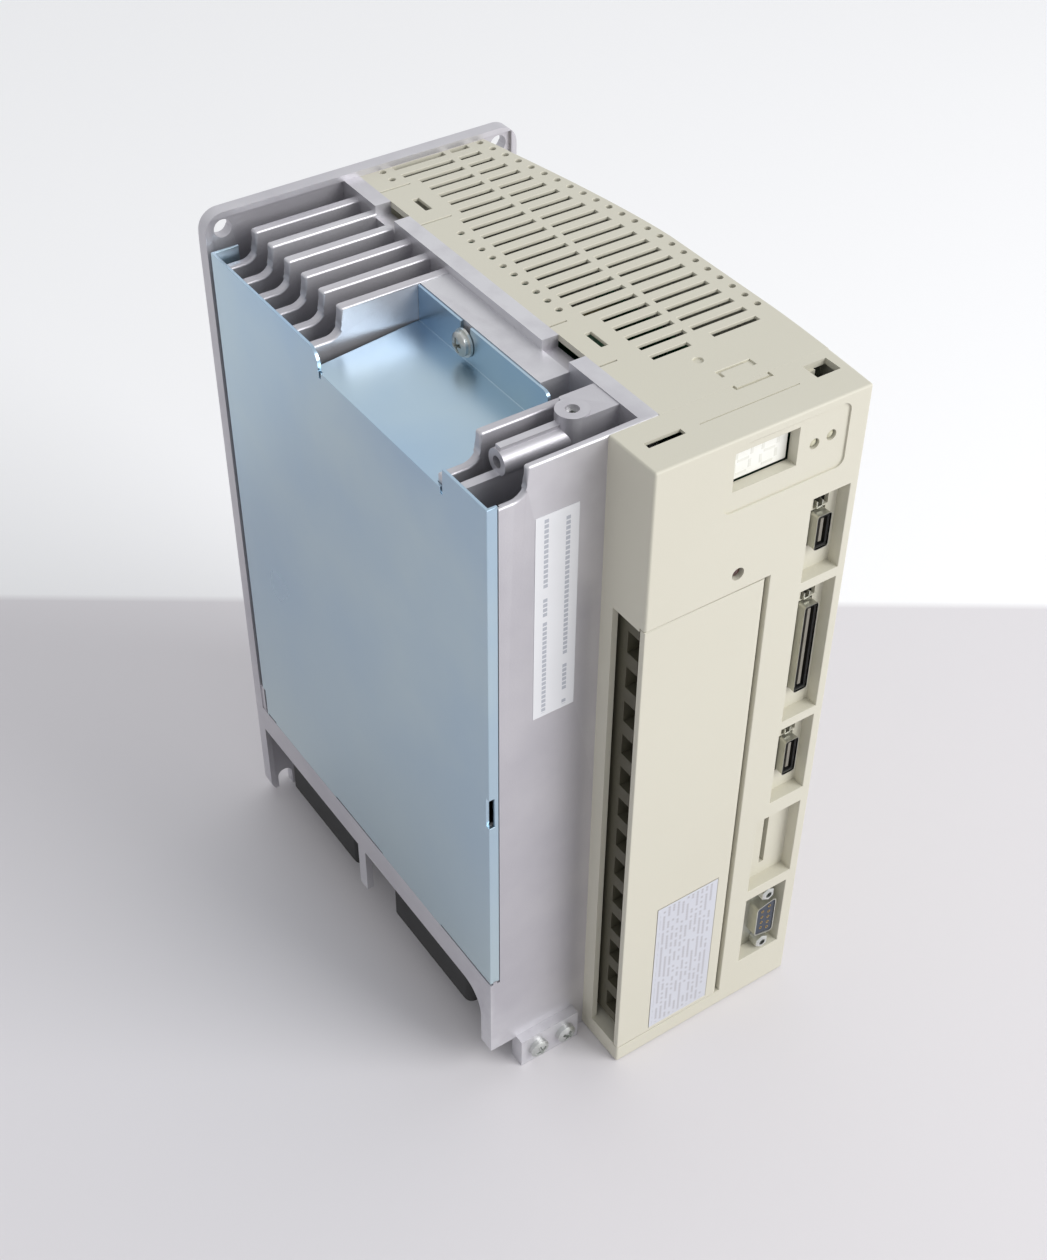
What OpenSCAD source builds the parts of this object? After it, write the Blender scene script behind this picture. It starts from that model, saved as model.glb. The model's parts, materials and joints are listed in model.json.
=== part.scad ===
// Wall-mounted servo drive: heatsink casting, sheet-metal duct cover, plastic case and front cover.
// Millimetres. X to the right seen from the front, Y towards the wall, Z up.
// The origin is the centre of the footprint at floor height.

/* [Overall size] */
// Width over the back plate and the case
overall_w = 113; // [112:0.5:115]
// Depth from the front cover's face to the wall
overall_d = 180; // [179:0.5:184]
// Height of the back plate
plate_h = 250; // [249:0.5:254]
// Height of the casting and the case
body_h = 248; // [247.5:0.25:248.5]

/* [Wall mounting] */
// Thickness of the back plate
plate_t = 4; // [3.5:0.25:4.5]
// Corner radius of the back plate
plate_r = 6.5; // [3:0.5:8]
// Distance of the mounting holes from the plate's left edge
mount_inset = 6.5; // [6:0.25:7]
// Distance between the left and right mounting holes
mount_pitch = 100; // [99:0.5:101]
// Diameter of the mounting holes and slots
mount_d = 6; // [5:0.5:6.5]
// Height of the upper mounting holes
mount_top = 244; // [243:0.5:245]
// Height of the centre of the lower slots' round end
mount_low = 6; // [5:0.5:7]

/* [Heatsink] */
// Outer face of the base wall that carries the electronics
base_right = 54; // [53.5:0.25:54]
// Thickness of the base wall
base_t = 5.5; // [5:0.25:6]
// Number of cooling fins
fin_count = 6; // [3:1:6]
// Distance from one fin to the next
fin_pitch = 10.3; // [10:0.1:10.3]
// Thickness of a fin
fin_t = 3.4; // [2.5:0.1:3.4]
// Height of the fin tops
fin_top = 245.5; // [245:0.25:246]
// Height of the fins' lower edge
fin_low = 46.5; // [46.5:0.5:50]
// Radius of the hollow at the fins' shoulder
shoulder_r = 4.4; // [3.5:0.1:4.6]

/* [Duct cover] */
// Thickness of the zinc-plated sheet
sheet_t = 1; // [0.8:0.1:1]
// Height of the sheet's top edge
duct_top = 239.5; // [239:0.5:240]
// Height of the inner shelf's upper face
shelf_top = 233; // [231:0.5:234]

/* [Fans] */
// Side length of a fan frame
fan_size = 50; // [48:0.5:50]
// Depth of a fan frame
fan_depth = 20; // [18:0.5:20]

/* [Case and covers] */
// Wall thickness of the plastic shells
wall = 2; // [1.6:0.1:2.2]
// Depth of the front cover
front_d = 20; // [20:0.5:20.5]
// Left edge of the front cover
front_left = 37.5; // [37:0.25:38]
// Width that the case loses towards the wall
case_taper = 13; // [12.5:0.25:13.5]
// Number of vent rows in the case's top
vent_rows = 24; // [8:1:24]
// Distance between vent rows
vent_pitch = 5.68; // [5.5:0.01:5.68]
// Width of a vent slot
vent_w = 2.2; // [1.6:0.1:2.2]

/* [Terminal cover] */
// Thickness of the terminal cover's leaf
leaf_t = 2.2; // [2:0.05:2.2]
// Lower edge of the leaf
leaf_low = 7.5; // [7.5:0.25:9]
// Upper edge of the leaf
leaf_high = 194.5; // [192:0.5:194.5]
// Left-right position of the hinge axis
hinge_x = 78.3; // [78:0.1:78.5]
// Radius of the hinge barrel
barrel_r = 2; // [1.8:0.05:2]
// Radius of the hinge pins
pin_r = 1; // [0.8:0.05:1]
// Radial clearance of the pins in their sockets
pin_fit = 0.05; // [0.03:0.01:0.1]

/* [Hidden] */

$fn = 48;
cut = 0.1;

// Planes that several pieces share
plate_face = overall_d - plate_t;
base_left = base_right - base_t;
rim_w = 2;
rim_t = 1.2;
front_wall_t = 2.2;
inner_front = front_d + front_wall_t;

// Fins and the walls beside the resistor pocket
first_fin_y = 167.7;
shoulder_x = 8;
fin_shoulder_z = 236.2;
wall_shoulder_z = 238.5;
pocket_wall_y = 41.7;
pocket_wall_t = 3;
block_left = 39;
block_front = 53;
block_back = 114.4;
block_top = 245;
block_wall = 3;
boss = [36.7, 35, 4.8];
tube_z = 240.3;
tube_r = 3.9;
tube_x = [13, 34];
tube_ridge = 245.2;

// Fan bay at the foot
bay_left = 2.5;
bay_right = 53.4;
bay_outer = 56;
bay_shelf_z = 35.5;
bay_shelf_t = 3;
skirt_low = 35.3;
post_y = [100.6, 105.5];
corner_cut = [10, 12];
fan_x = bay_left + 0.5 + fan_size / 2;
fan_ys = [137, 63];
fan_low = bay_shelf_z - fan_depth;
fan_hole_inset = 5;
fan_bore_r = fan_size / 2 - 1.6;

// Duct cover's folds
duct_back = 172.4;
return_front = 3.4;
return_back = 9;
notch_y = [41.2, 107];
notch_z = [121, 133];
shelf_y = [pocket_wall_y + pocket_wall_t + 0.2, 109.5, 114.4];
flange_front = 48;
flange_top = 244.7;
cover_screw_y = 89;
cover_screw_z = 239;

// Vents in the case's top, where its wall is thinner
first_vent_y = 173.4;
vent_skin = 1;
groove_d = 0.6;

// Electronics stack, from the base wall to the right
module_t = 14;
flange_t = 4;
power_board_x = 72;
board_t = 1.6;
control_board_x = 105;
power_board_yz = [[30, 165], [45, 235]];
control_board_yz = [[8, 118], [12, 222]];
stack_points = [[34, 231], [34, 49], [90, 231], [90, 49], [161, 231], [161, 49]];
control_points = [[34, 216], [34, 64], [112, 216], [112, 49]];
capacitor_r = 13;
capacitor_y = 56;
capacitor_zs = [70, 102, 134, 166];
capacitor_length = 26;
module_screw_points = [[100, 98], [162, 98], [100, 208], [162, 208], [62.5, 124], [62.5, 186]];
resistor_screw_points = [[80, 66], [80, 219]];

// Front cover's openings, as [x from, x to, z from, z to]
pocket_depth = 4.5;
pocket_floor = 1.5;
command_pocket = [93.7, 107.5, 186, 216];
io_pocket = [93.8, 107.3, 130.5, 182.5];
feedback_pocket = [93.5, 107.1, 94.5, 127];
spare_pocket = [89, 107, 54.3, 88];
dsub_pocket = [89, 106, 17.9, 49.6];
pockets = [command_pocket, io_pocket, feedback_pocket, spare_pocket, dsub_pocket];
window = [64.3, 86.2, 230.5, 243];
panel = [61.2, 103.5, 224, 245.3];
panel_depth = 0.6;
display_face = 4.2;
led_points = [[92, 235.3], [97.9, 235.9]];
lamp_point = [69, 201];
slot_z = [8, 193.5];
slot_y = [2.5, 14.6];
hatch_y = 4.5;
hatch_right = 66;
part_gap = 0.3;

// Terminals
terminal_x = [41, 62];
terminal_y = [6.5, 20];
terminal_z = [12, 190];
terminal_count = 13;
terminal_pitch = 13.4;

// Data connectors
port_x = [98, 103.3];
port_face = 1.2;
port_back = 20;
port_margin = [9, 8.7];
port_skin = 0.5;
latch_gap = [0.6, 4.6];
dsub_center = [99.4, 33.2];
dsub_face = 0.6;
dsub_floor = 5.8;
jack_pitch = 25;

// Ground block
ground_block = [10, 33, 12.5];
ground_proud = 3.4;
ground_xs = [16.5, 27.5];
ground_z = 6;

// Right edge of the case at depth y: straight in the middle, drawn in towards the front and the wall
rear_curve_y = 92;
front_curve_y = 45;
function right_edge(y) =
    y > rear_curve_y
        ? overall_w - case_taper * pow((y - rear_curve_y) / (plate_face - rear_curve_y), 1.4)
        : y < front_curve_y
            ? overall_w - pow((front_curve_y - y) / 25, 1.5)
            : overall_w;

// Puts a piece drawn from the lower left front corner into the part's own frame
module place()
    translate([-overall_w / 2, -overall_d / 2, 0])
        children();

// Extrudes an outline drawn in X and Z from depth y0 to depth y1
module front_slab(y0, y1)
    translate([0, y1, 0])
        rotate([90, 0, 0])
            linear_extrude(y1 - y0)
                children();

// Extrudes an outline drawn in Y and Z from x0 to x1
module side_slab(x0, x1)
    translate([x0, 0, 0])
        rotate([90, 0, 90])
            linear_extrude(x1 - x0)
                children();

module box(x, y, z)
    translate([x[0], y[0], z[0]])
        cube([x[1] - x[0], y[1] - y[0], z[1] - z[0]]);

module rod_x(x0, x1, y, z, r)
    translate([x0, y, z])
        rotate([0, 90, 0])
            cylinder(h = x1 - x0, r = r);

module rod_y(y0, y1, x, z, r)
    translate([x, y0, z])
        rotate([-90, 0, 0])
            cylinder(h = y1 - y0, r = r);

module rod_z(z0, z1, x, y, r)
    translate([x, y, z0])
        cylinder(h = z1 - z0, r = r);

module round_rect(x0, x1, z0, z1, r) {
    translate([x0 + r, z0])
        square([x1 - x0 - 2 * r, z1 - z0]);
    translate([x0, z0 + r])
        square([x1 - x0, z1 - z0 - 2 * r]);
    for (x = [x0 + r, x1 - r], z = [z0 + r, z1 - r])
        translate([x, z])
            circle(r);
}

module rect(r)
    translate([r[0], r[2]])
        square([r[1] - r[0], r[3] - r[2]]);

// ---- Heatsink casting ----

module plate_outline()
    round_rect(0, overall_w, 0, plate_h, plate_r);

module back_plate() {
    front_slab(plate_face, overall_d)
        plate_outline();
    front_slab(plate_face - rim_t, plate_face)
        difference() {
            plate_outline();
            translate([rim_w, -cut])
                square([overall_w - 2 * rim_w, body_h + cut]);
        }
}

// Everything above and left of the hollow shoulder, which clears the way to the mounting hole
module shoulder_cut(z)
    translate([-cut, 0]) {
        translate([0, z])
            square([shoulder_x + cut, body_h]);
        translate([shoulder_x + cut, z + shoulder_r])
            circle(shoulder_r);
        translate([0, z + shoulder_r])
            square([shoulder_x + shoulder_r + cut, body_h]);
    }

module fin(y, thickness, top)
    front_slab(y - thickness / 2, y + thickness / 2)
        difference() {
            translate([sheet_t + 0.1, fin_low])
                square([base_left - sheet_t, top - fin_low]);
            shoulder_cut(fin_shoulder_z);
        }

module base_wall()
    difference() {
        box([base_left, base_right], [inner_front - cut, plate_face + cut], [bay_shelf_z, body_h]);
        // Gaps for the case's latch tongues
        for (y = [[145, 156], [53.4, 66.2]])
            box([base_left - cut, base_right + cut], y, [body_h - 4, body_h + cut]);
    }

module front_wall() {
    front_slab(front_d, inner_front)
        difference() {
            union() {
                translate([return_front + 0.2, fin_low - cut])
                    square([base_right - return_front - 0.2, body_h - fin_low + cut]);
                translate([0, corner_cut[1]])
                    square([base_right, fin_low - corner_cut[1]]);
                translate([corner_cut[0], 0])
                    square([base_right - corner_cut[0], corner_cut[1] + cut]);
            }
            shoulder_cut(wall_shoulder_z);
        }
    // Step behind the duct cover's front fold
    box([sheet_t + 0.1, return_front + 1], [front_d + sheet_t + 0.1, inner_front], [fin_low - cut, wall_shoulder_z]);
}

// Hollow block that the duct cover's flange and the braking resistor are screwed to
module resistor_block()
    difference() {
        box([block_left, base_left + cut], [block_front, block_back + cut], [fin_low, block_top]);
        box([block_left + block_wall, base_left], [block_front + block_wall, block_back - block_wall],
            [fin_low - cut, block_top - 5]);
    }

module front_pocket() {
    rod_z(fin_low, body_h, boss[0], boss[1], boss[2]);
    box([boss[0], base_left + cut], [boss[1] - boss[2], pocket_wall_y + cut], [fin_low, body_h - 0.3]);
    rod_x(tube_x[0], tube_x[1], boss[1], tube_z, tube_r);
    box([tube_x[0] + 0.5, boss[0]], [boss[1] - 1, boss[1] + 1.4], [tube_z, tube_ridge]);
    box([sheet_t + 0.1, boss[0]], [boss[1] - 1.5, boss[1] + 1.5], [fin_low, wall_shoulder_z - 1.5]);
}

module fan_bay() {
    difference() {
        box([0, bay_outer], [front_d, plate_face + cut], [bay_shelf_z, bay_shelf_z + bay_shelf_t]);
        for (y = fan_ys)
            rod_z(bay_shelf_z - cut, bay_shelf_z + bay_shelf_t + cut, fan_x, y, fan_bore_r);
    }
    box([bay_right, bay_outer], [front_d, plate_face + cut], [0, bay_shelf_z + cut]);
}

module skirt() {
    side_slab(0, bay_left)
        union() {
            translate([front_d, skirt_low])
                square([plate_face - front_d + cut, fin_low - skirt_low]);
            // Post down to the fans' lower face
            translate([post_y[0], fan_low])
                square([post_y[1] - post_y[0], skirt_low - fan_low + cut]);
            // Rounded front end of the front opening
            difference() {
                translate([front_d, corner_cut[1]])
                    square([16, skirt_low - corner_cut[1] + cut]);
                translate([front_d + 16, skirt_low - 10])
                    circle(10);
                translate([front_d + 6, 0])
                    square([20, skirt_low - 10]);
            }
        }
    box([sheet_t + 0.1, bay_left], [front_d, plate_face + cut], [fin_low - cut, fin_low + 1.5]);
    box([0.4, bay_left], [duct_back + 0.2, plate_face + cut], [fin_low - cut, fin_low + 11.5]);
}

module mounting_cuts()
    for (x = [mount_inset, mount_inset + mount_pitch]) {
        rod_y(plate_face - cut, overall_d + cut, x, mount_top, mount_d / 2);
        rod_y(plate_face - cut, overall_d + cut, x, mount_low, mount_d / 2);
        box([x - mount_d / 2, x + mount_d / 2], [plate_face - cut, overall_d + cut], [-cut, mount_low]);
    }

module casting_screw_holes() {
    rod_x(block_left - cut, block_left + block_wall + 3, cover_screw_y, cover_screw_z, 2);
    for (p = resistor_screw_points)
        rod_x(block_left - cut, block_left + block_wall + cut, p[0], p[1], 2);
    for (p = module_screw_points)
        rod_x(base_right - 3.5, base_right + cut, p[0], p[1], 2);
    for (p = stack_points)
        rod_x(base_right - 3.5, base_right + cut, p[0], p[1], 1.5);
    for (x = ground_xs)
        rod_y(front_d - ground_proud - cut, inner_front + cut, x, ground_z, 2);
    for (y = fan_ys, p = fan_corners())
        rod_z(bay_shelf_z - cut, bay_shelf_z + bay_shelf_t + cut, fan_x + p[0], y + p[1], 1.5);
    rod_z(body_h - 14, body_h + cut, boss[0], boss[1], 2);
    rod_x(tube_x[0] - cut, tube_x[0] + 12, boss[1], tube_z, 1.8);
}

module heatsink_casting()
    color([0.75, 0.75, 0.77])
        place()
            difference() {
                union() {
                    back_plate();
                    base_wall();
                    front_wall();
                    for (i = [0 : fin_count - 1])
                        fin(first_fin_y - i * fin_pitch, fin_t, fin_top);
                    fin(pocket_wall_y + pocket_wall_t / 2, pocket_wall_t, fin_top);
                    resistor_block();
                    front_pocket();
                    fan_bay();
                    skirt();
                    box([ground_block[0], ground_block[1]], [front_d - ground_proud, front_d + cut],
                        [0, ground_block[2]]);
                }
                mounting_cuts();
                casting_screw_holes();
                // Gap behind the duct cover's front notch
                box([sheet_t, 3], [front_d + sheet_t, inner_front + cut], notch_z);
            }

// ---- Duct cover ----

module duct_side_outline()
    difference() {
        union() {
            translate([front_d, fin_low])
                square([duct_back - front_d, shelf_top - fin_low]);
            translate([front_d, fin_low])
                square([notch_y[0] - front_d, duct_top - fin_low]);
            translate([notch_y[1] + 5, fin_low])
                square([duct_back - notch_y[1] - 5, duct_top - fin_low]);
            translate([notch_y[1] + 5, duct_top - 5])
                circle(5);
        }
        // Gaps along the lower edge
        for (y = [[164, 170], [87.6, 119.5], [front_d - cut, 50]])
            translate([y[0], fin_low - cut])
                square([y[1] - y[0], 1.1]);
        // Reliefs at the ends of the shelf's fold
        for (y = [notch_y[0], notch_y[1] - 1.2])
            translate([y, shelf_top - 2])
                square([1.2, 2 + cut]);
    }

module duct_shelf()
    translate([0, 0, shelf_top - sheet_t])
        linear_extrude(sheet_t)
            polygon([
                [sheet_t - cut, shelf_y[0]],
                [block_left, shelf_y[0]],
                [block_left, shelf_y[2]],
                [sheet_t - cut, shelf_y[1]]
            ]);

module duct_flange()
    side_slab(block_left - sheet_t, block_left)
        difference() {
            union() {
                translate([flange_front, shelf_top - sheet_t])
                    square([shelf_y[2] - flange_front, flange_top - shelf_top + sheet_t - 2.5]);
                translate([flange_front + 2.5, shelf_top - sheet_t])
                    square([shelf_y[2] - flange_front - 2.5, flange_top - shelf_top + sheet_t]);
                // Rounded front corner
                translate([flange_front + 2.5, flange_top - 2.5])
                    circle(2.5);
            }
            // Open slot for the screw
            translate([cover_screw_y, cover_screw_z])
                circle(2.4);
            translate([cover_screw_y - 2.4, cover_screw_z])
                square([4.8, flange_top]);
        }

module duct_cover()
    color([0.62, 0.72, 0.80])
        place()
            difference() {
                union() {
                    side_slab(0, sheet_t)
                        duct_side_outline();
                    box([0, return_front], [front_d, front_d + sheet_t], [fin_low + 1, duct_top]);
                    box([0, return_back], [duct_back - sheet_t, duct_back], [fin_low + 12, duct_top]);
                    duct_shelf();
                    duct_flange();
                }
                // Notch in the front fold
                box([-cut, 2], [front_d - cut, front_d + 1.6], notch_z);
                // Corner left open for the casting's foot
                box([-cut, 3], [duct_back - 1.8, duct_back + cut], [fin_low - cut, fin_low + 12]);
            }

// ---- Screws ----

// Pan-head screw whose head rests on x = 0 and points towards -X
module pan_screw(head_r, head_h, shank_r, shank_length) {
    translate([-head_h, 0, 0])
        rotate([0, 90, 0])
            difference() {
                cylinder(h = head_h, r = head_r);
                for (a = [0, 90])
                    rotate(a)
                        translate([-head_r * 0.55, -0.4, -cut])
                            cube([head_r * 1.1, 0.8, head_h * 0.45 + cut]);
            }
    rotate([0, 90, 0])
        cylinder(h = shank_length, r = shank_r);
}

// Screws pushed in towards +X through points given as [y, z]
module screws_in_x(x, points, head_r, head_h, shank_r, shank_length)
    for (p = points)
        translate([x, p[0], p[1]])
            pan_screw(head_r, head_h, shank_r, shank_length);

module duct_cover_screw()
    color([0.85, 0.85, 0.85])
        place() {
            difference() {
                rod_x(block_left - sheet_t - 1, block_left - sheet_t, cover_screw_y, cover_screw_z, 4.4);
                rod_x(block_left - sheet_t - 2, block_left, cover_screw_y, cover_screw_z, 2);
            }
            screws_in_x(block_left - sheet_t - 1, [[cover_screw_y, cover_screw_z]], 3.6, 2.4, 2,
                        block_wall + sheet_t + 2);
        }

module boss_screw()
    color([0.85, 0.85, 0.85])
        place()
            difference() {
                rod_z(body_h - 9, body_h - 1.5, boss[0], boss[1], 2);
                translate([boss[0], boss[1], body_h - 3.5])
                    cylinder(h = 3, r = 1.2, $fn = 6);
            }

module resistor_screws()
    color([0.80, 0.80, 0.80])
        place()
            screws_in_x(block_left - 3, resistor_screw_points, 3.4, 2.2, 2, 3 + block_wall);

module module_screws()
    color([0.80, 0.80, 0.80])
        place()
            for (p = module_screw_points)
                translate([base_right + flange_t, p[0], p[1]])
                    mirror([1, 0, 0])
                        pan_screw(3.4, 2.2, 2, flange_t + 3);

module board_screws()
    color([0.80, 0.80, 0.80])
        place() {
            for (p = stack_points)
                translate([power_board_x + board_t, p[0], p[1]])
                    mirror([1, 0, 0])
                        pan_screw(2.8, 1.8, 1.5, board_t + 4);
            for (p = control_points)
                translate([control_board_x + board_t, p[0], p[1]])
                    mirror([1, 0, 0])
                        pan_screw(2.8, 1.2, 1.5, board_t + 4);
        }

module ground_screws()
    color([0.85, 0.83, 0.75])
        place()
            for (x = ground_xs)
                translate([x, front_d - ground_proud, ground_z])
                    rotate([0, 0, 90])
                        pan_screw(3.5, 2.6, 2, ground_proud + front_wall_t);

module fan_screws()
    color([0.70, 0.70, 0.70])
        place()
            for (y = fan_ys, p = fan_corners())
                translate([fan_x + p[0], y + p[1], fan_low])
                    rotate([0, -90, 0])
                        pan_screw(2.8, 2, 1.5, fan_depth + bay_shelf_t);

// ---- Resistor and fans ----

module braking_resistor()
    color([0.72, 0.70, 0.62])
        place()
            difference() {
                union() {
                    box([18, block_left], [54, 106], [72, 213]);
                    box([block_left - 3, block_left], [70, 90], [60, 225]);
                    for (y = [60 : 8 : 100])
                        box([15.5, 18 + cut], [y - 1, y + 1], [74, 211]);
                }
                for (p = resistor_screw_points)
                    rod_x(block_left - 3 - cut, block_left + cut, p[0], p[1], 2);
            }

function fan_corners() =
    [for (sx = [-1, 1], sy = [-1, 1]) [sx * (fan_size / 2 - fan_hole_inset), sy * (fan_size / 2 - fan_hole_inset)]];

module fan_frame(y)
    translate([fan_x, y, fan_low])
        difference() {
            union() {
                difference() {
                    linear_extrude(fan_depth)
                        round_rect(-fan_size / 2, fan_size / 2, -fan_size / 2, fan_size / 2, 3);
                    translate([0, 0, -cut])
                        cylinder(h = fan_depth + 2 * cut, r = fan_bore_r);
                }
                // Motor carrier, its struts, the bearing sleeve and the stator
                cylinder(h = 1.6, r = 13);
                for (a = [45 : 90 : 315])
                    rotate(a)
                        translate([12, -1.5, 0])
                            cube([fan_bore_r - 10, 3, 1.6]);
                cylinder(h = 14, r = 2.6);
                translate([0, 0, 3.5])
                    cylinder(h = 9, r = 9);
            }
            translate([0, 0, 1])
                cylinder(h = fan_depth, r = pin_r + pin_fit);
            for (p = fan_corners())
                translate([p[0], p[1], -cut])
                    cylinder(h = fan_depth + 2 * cut, r = 1.5);
        }

module fan_rotor(y) {
    hub_r = 12.4;
    top = fan_depth - 0.8;
    blade_r = fan_bore_r - 0.7;
    translate([fan_x, y, fan_low]) {
        difference() {
            translate([0, 0, 2.4])
                cylinder(h = top - 2.4, r = hub_r);
            translate([0, 0, 2.3])
                cylinder(h = top - 4, r = hub_r - 1.4);
        }
        translate([0, 0, 1.5])
            cylinder(h = top - 2, r = pin_r);
        intersection() {
            difference() {
                translate([0, 0, 2.6])
                    cylinder(h = top - 3, r = blade_r);
                cylinder(h = top, r = hub_r - 0.4);
            }
            for (a = [0 : 360 / 7 : 359])
                rotate(a)
                    translate([10, 0, fan_depth / 2])
                        rotate([48, 0, 0])
                            translate([0, -0.7, -15])
                                cube([20, 1.4, 30]);
        }
    }
}

module rear_fan_frame()
    color([0.10, 0.10, 0.10])
        place()
            fan_frame(fan_ys[0]);

module front_fan_frame()
    color([0.10, 0.10, 0.10])
        place()
            fan_frame(fan_ys[1]);

module rear_fan_rotor()
    color([0.15, 0.15, 0.15])
        place()
            fan_rotor(fan_ys[0]);

module front_fan_rotor()
    color([0.15, 0.15, 0.15])
        place()
            fan_rotor(fan_ys[1]);

// ---- Electronics ----

// Semiconductor module on the base wall, with a flange and two rows of pins up to the power board
module semiconductor(y, z, inset_y, inset_z, pins) {
    box([base_right, base_right + flange_t], y, z);
    box([base_right, base_right + module_t], [y[0] + inset_y, y[1] - inset_y], [z[0] + inset_z, z[1] - inset_z]);
    span = z[1] - z[0] - 2 * inset_z - 8;
    for (py = [y[0] + inset_y + 3, y[1] - inset_y - 3], i = [0 : pins - 1])
        rod_x(base_right + module_t - cut, power_board_x, py, z[0] + inset_z + 4 + i * span / (pins - 1), 0.6);
}

module power_module()
    color([0.20, 0.20, 0.22])
        place()
            difference() {
                semiconductor([96, 166], [92, 214], 2, 12, 8);
                for (i = [0 : 3])
                    rod_x(base_right - cut, base_right + flange_t + cut,
                          module_screw_points[i][0], module_screw_points[i][1], 2);
            }

module rectifier_module()
    color([0.20, 0.20, 0.22])
        place()
            difference() {
                semiconductor([42, 83], [118, 192], 2, 12, 4);
                for (i = [4, 5])
                    rod_x(base_right - cut, base_right + flange_t + cut,
                          module_screw_points[i][0], module_screw_points[i][1], 2);
            }

module board(x, yz, points)
    difference() {
        box([x, x + board_t], yz[0], yz[1]);
        for (p = points)
            rod_x(x - cut, x + board_t + cut, p[0], p[1], 1.5);
    }

module power_board()
    color([0.10, 0.35, 0.20])
        place()
            board(power_board_x, power_board_yz, concat(stack_points, control_points));

module control_board()
    color([0.10, 0.35, 0.20])
        place() {
            board(control_board_x, control_board_yz, control_points);
            box([control_board_x - 3.5, control_board_x], [60, 88], [140, 168]);
            box([control_board_x - 2.5, control_board_x], [60, 76], [100, 122]);
        }

// Hexagonal standoff with a threaded hole at each end
module spacer(x0, x1, p)
    difference() {
        translate([x0, p[0], p[1]])
            rotate([0, 90, 0])
                cylinder(h = x1 - x0, r = 3, $fn = 6);
        rod_x(x1 - 4, x1 + cut, p[0], p[1], 1.5);
    }

module board_spacers()
    color([0.80, 0.78, 0.65])
        place() {
            for (p = stack_points) {
                spacer(base_right, power_board_x, p);
                rod_x(base_right - 3.5, base_right, p[0], p[1], 1.5);
            }
            for (p = control_points)
                spacer(power_board_x + board_t, control_board_x, p);
        }

module bus_capacitors()
    color([0.12, 0.13, 0.20])
        place()
            for (z = capacitor_zs)
                rod_x(power_board_x + board_t, power_board_x + board_t + capacitor_length,
                      capacitor_y, z, capacitor_r);

module soft_start_relay()
    color([0.15, 0.25, 0.45])
        place()
            box([power_board_x + board_t, power_board_x + board_t + 16], [84, 112], [62, 78]);

module current_sensors()
    color([0.15, 0.15, 0.15])
        place()
            for (z = [100, 130])
                difference() {
                    box([power_board_x + board_t, power_board_x + board_t + 18], [120, 132], [z, z + 22]);
                    rod_y(120 - cut, 132 + cut, power_board_x + board_t + 9, z + 11, 4);
                }

// ---- Main case ----

module case_outline(y0, y1, step, inset)
    polygon(concat(
        [[base_right, y0]],
        [for (y = [y0 : step : y1]) [right_edge(y) - inset, y]],
        [[base_right, y1]]
    ));

// Thins the top from inside over all the vents
module vent_thinning()
    intersection() {
        translate([0, 0, body_h - wall - cut])
            linear_extrude(wall - vent_skin + cut)
                case_outline(41, plate_face - wall - 0.1, 5.1, wall + 0.3);
        box([60, overall_w], [40, plate_face], [body_h - 2 * wall, body_h]);
    }

module vent_row(k) {
    y = first_vent_y - k * vent_pitch;
    right_dot = right_edge(y) - 2.8;
    left_start = (k > 1 && k < 7) || k > 18 ? 68.4 : 65.5;
    left_end = k == vent_rows - 1 ? 81.3 : 84.2;
    right_start = k == vent_rows - 1 ? 89.3 : 86.6;
    vent_cut(left_start, left_end, y);
    vent_cut(right_start, right_dot - 4.6, y);
    if (k < 2 || (k > 7 && k < 18))
        rod_z(body_h - wall - cut, body_h + cut, 61.5, y, vent_w / 2);
    if (k < vent_rows - 1)
        rod_z(body_h - wall - cut, body_h + cut, right_dot, y, vent_w / 2);
}

module vent_cut(x0, x1, y)
    box([x0, x1], [y - vent_w / 2, y + vent_w / 2], [body_h - wall - cut, body_h + cut]);

// Grooves and dimple in the case's top
module top_marks() {
    box([78.5, 90.4], [26.9, 27.8], [body_h - groove_d, body_h + cut]);
    for (x = [[78.5, 79.4], [89, 90.4]])
        box(x, [24.8, 27.8], [body_h - groove_d, body_h + cut]);
    rod_z(body_h - groove_d, body_h + cut, 78.3, 34.9, 1.5);
}

module tongue_cuts() {
    // Slits at the ends of the two latch tongues, and the hole that releases each
    for (y = [138.5, 162.5, 47, 70.7])
        box([base_right - cut, y > 100 ? 64.8 : 60], [y - 0.3, y + 0.3], [body_h - wall - cut, body_h + cut]);
    for (p = [[61.1, 149.3], [61.3, 58.6]])
        box([p[0] - 1.1, p[0] + 1.1], [p[1] - 4, p[1] + 4], [body_h - wall - cut, body_h + cut]);
}

module main_case()
    color([0.86, 0.84, 0.77])
        place() {
            difference() {
                linear_extrude(body_h)
                    case_outline(front_d, plate_face, (plate_face - front_d) / 26, 0);
                translate([-cut, 0, wall])
                    linear_extrude(body_h - 2 * wall)
                        case_outline(front_d - cut, plate_face - wall, (plate_face - wall - front_d + cut) / 26, wall);
                box([base_right - 1, bay_outer + part_gap], [front_d - cut, plate_face + cut],
                    [-cut, bay_shelf_z + bay_shelf_t + part_gap]);
                vent_thinning();
                top_marks();
                for (k = [0 : vent_rows - 1])
                    vent_row(k);
                tongue_cuts();
            }
            // Walls around the fan bay
            box([bay_outer + part_gap, bay_outer + part_gap + wall], [front_d, plate_face],
                [0, bay_shelf_z + bay_shelf_t + part_gap + wall]);
            box([base_right, bay_outer + part_gap + wall], [front_d, plate_face],
                [bay_shelf_z + bay_shelf_t + part_gap, bay_shelf_z + bay_shelf_t + part_gap + wall]);
        }

// ---- Front cover ----

// The outline r made larger by d on every side
function grown(r, d) = [r[0] - d, r[1] + d, r[2] - d, r[3] + d];

// Window in a recess's floor, just above the connector, where the plug's latch engages
function latch_window(pocket) =
    [port_x[0] + 0.6, port_x[1] + 0.9, port_shell(pocket)[3] + latch_gap[0], port_shell(pocket)[3] + latch_gap[1]];

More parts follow.
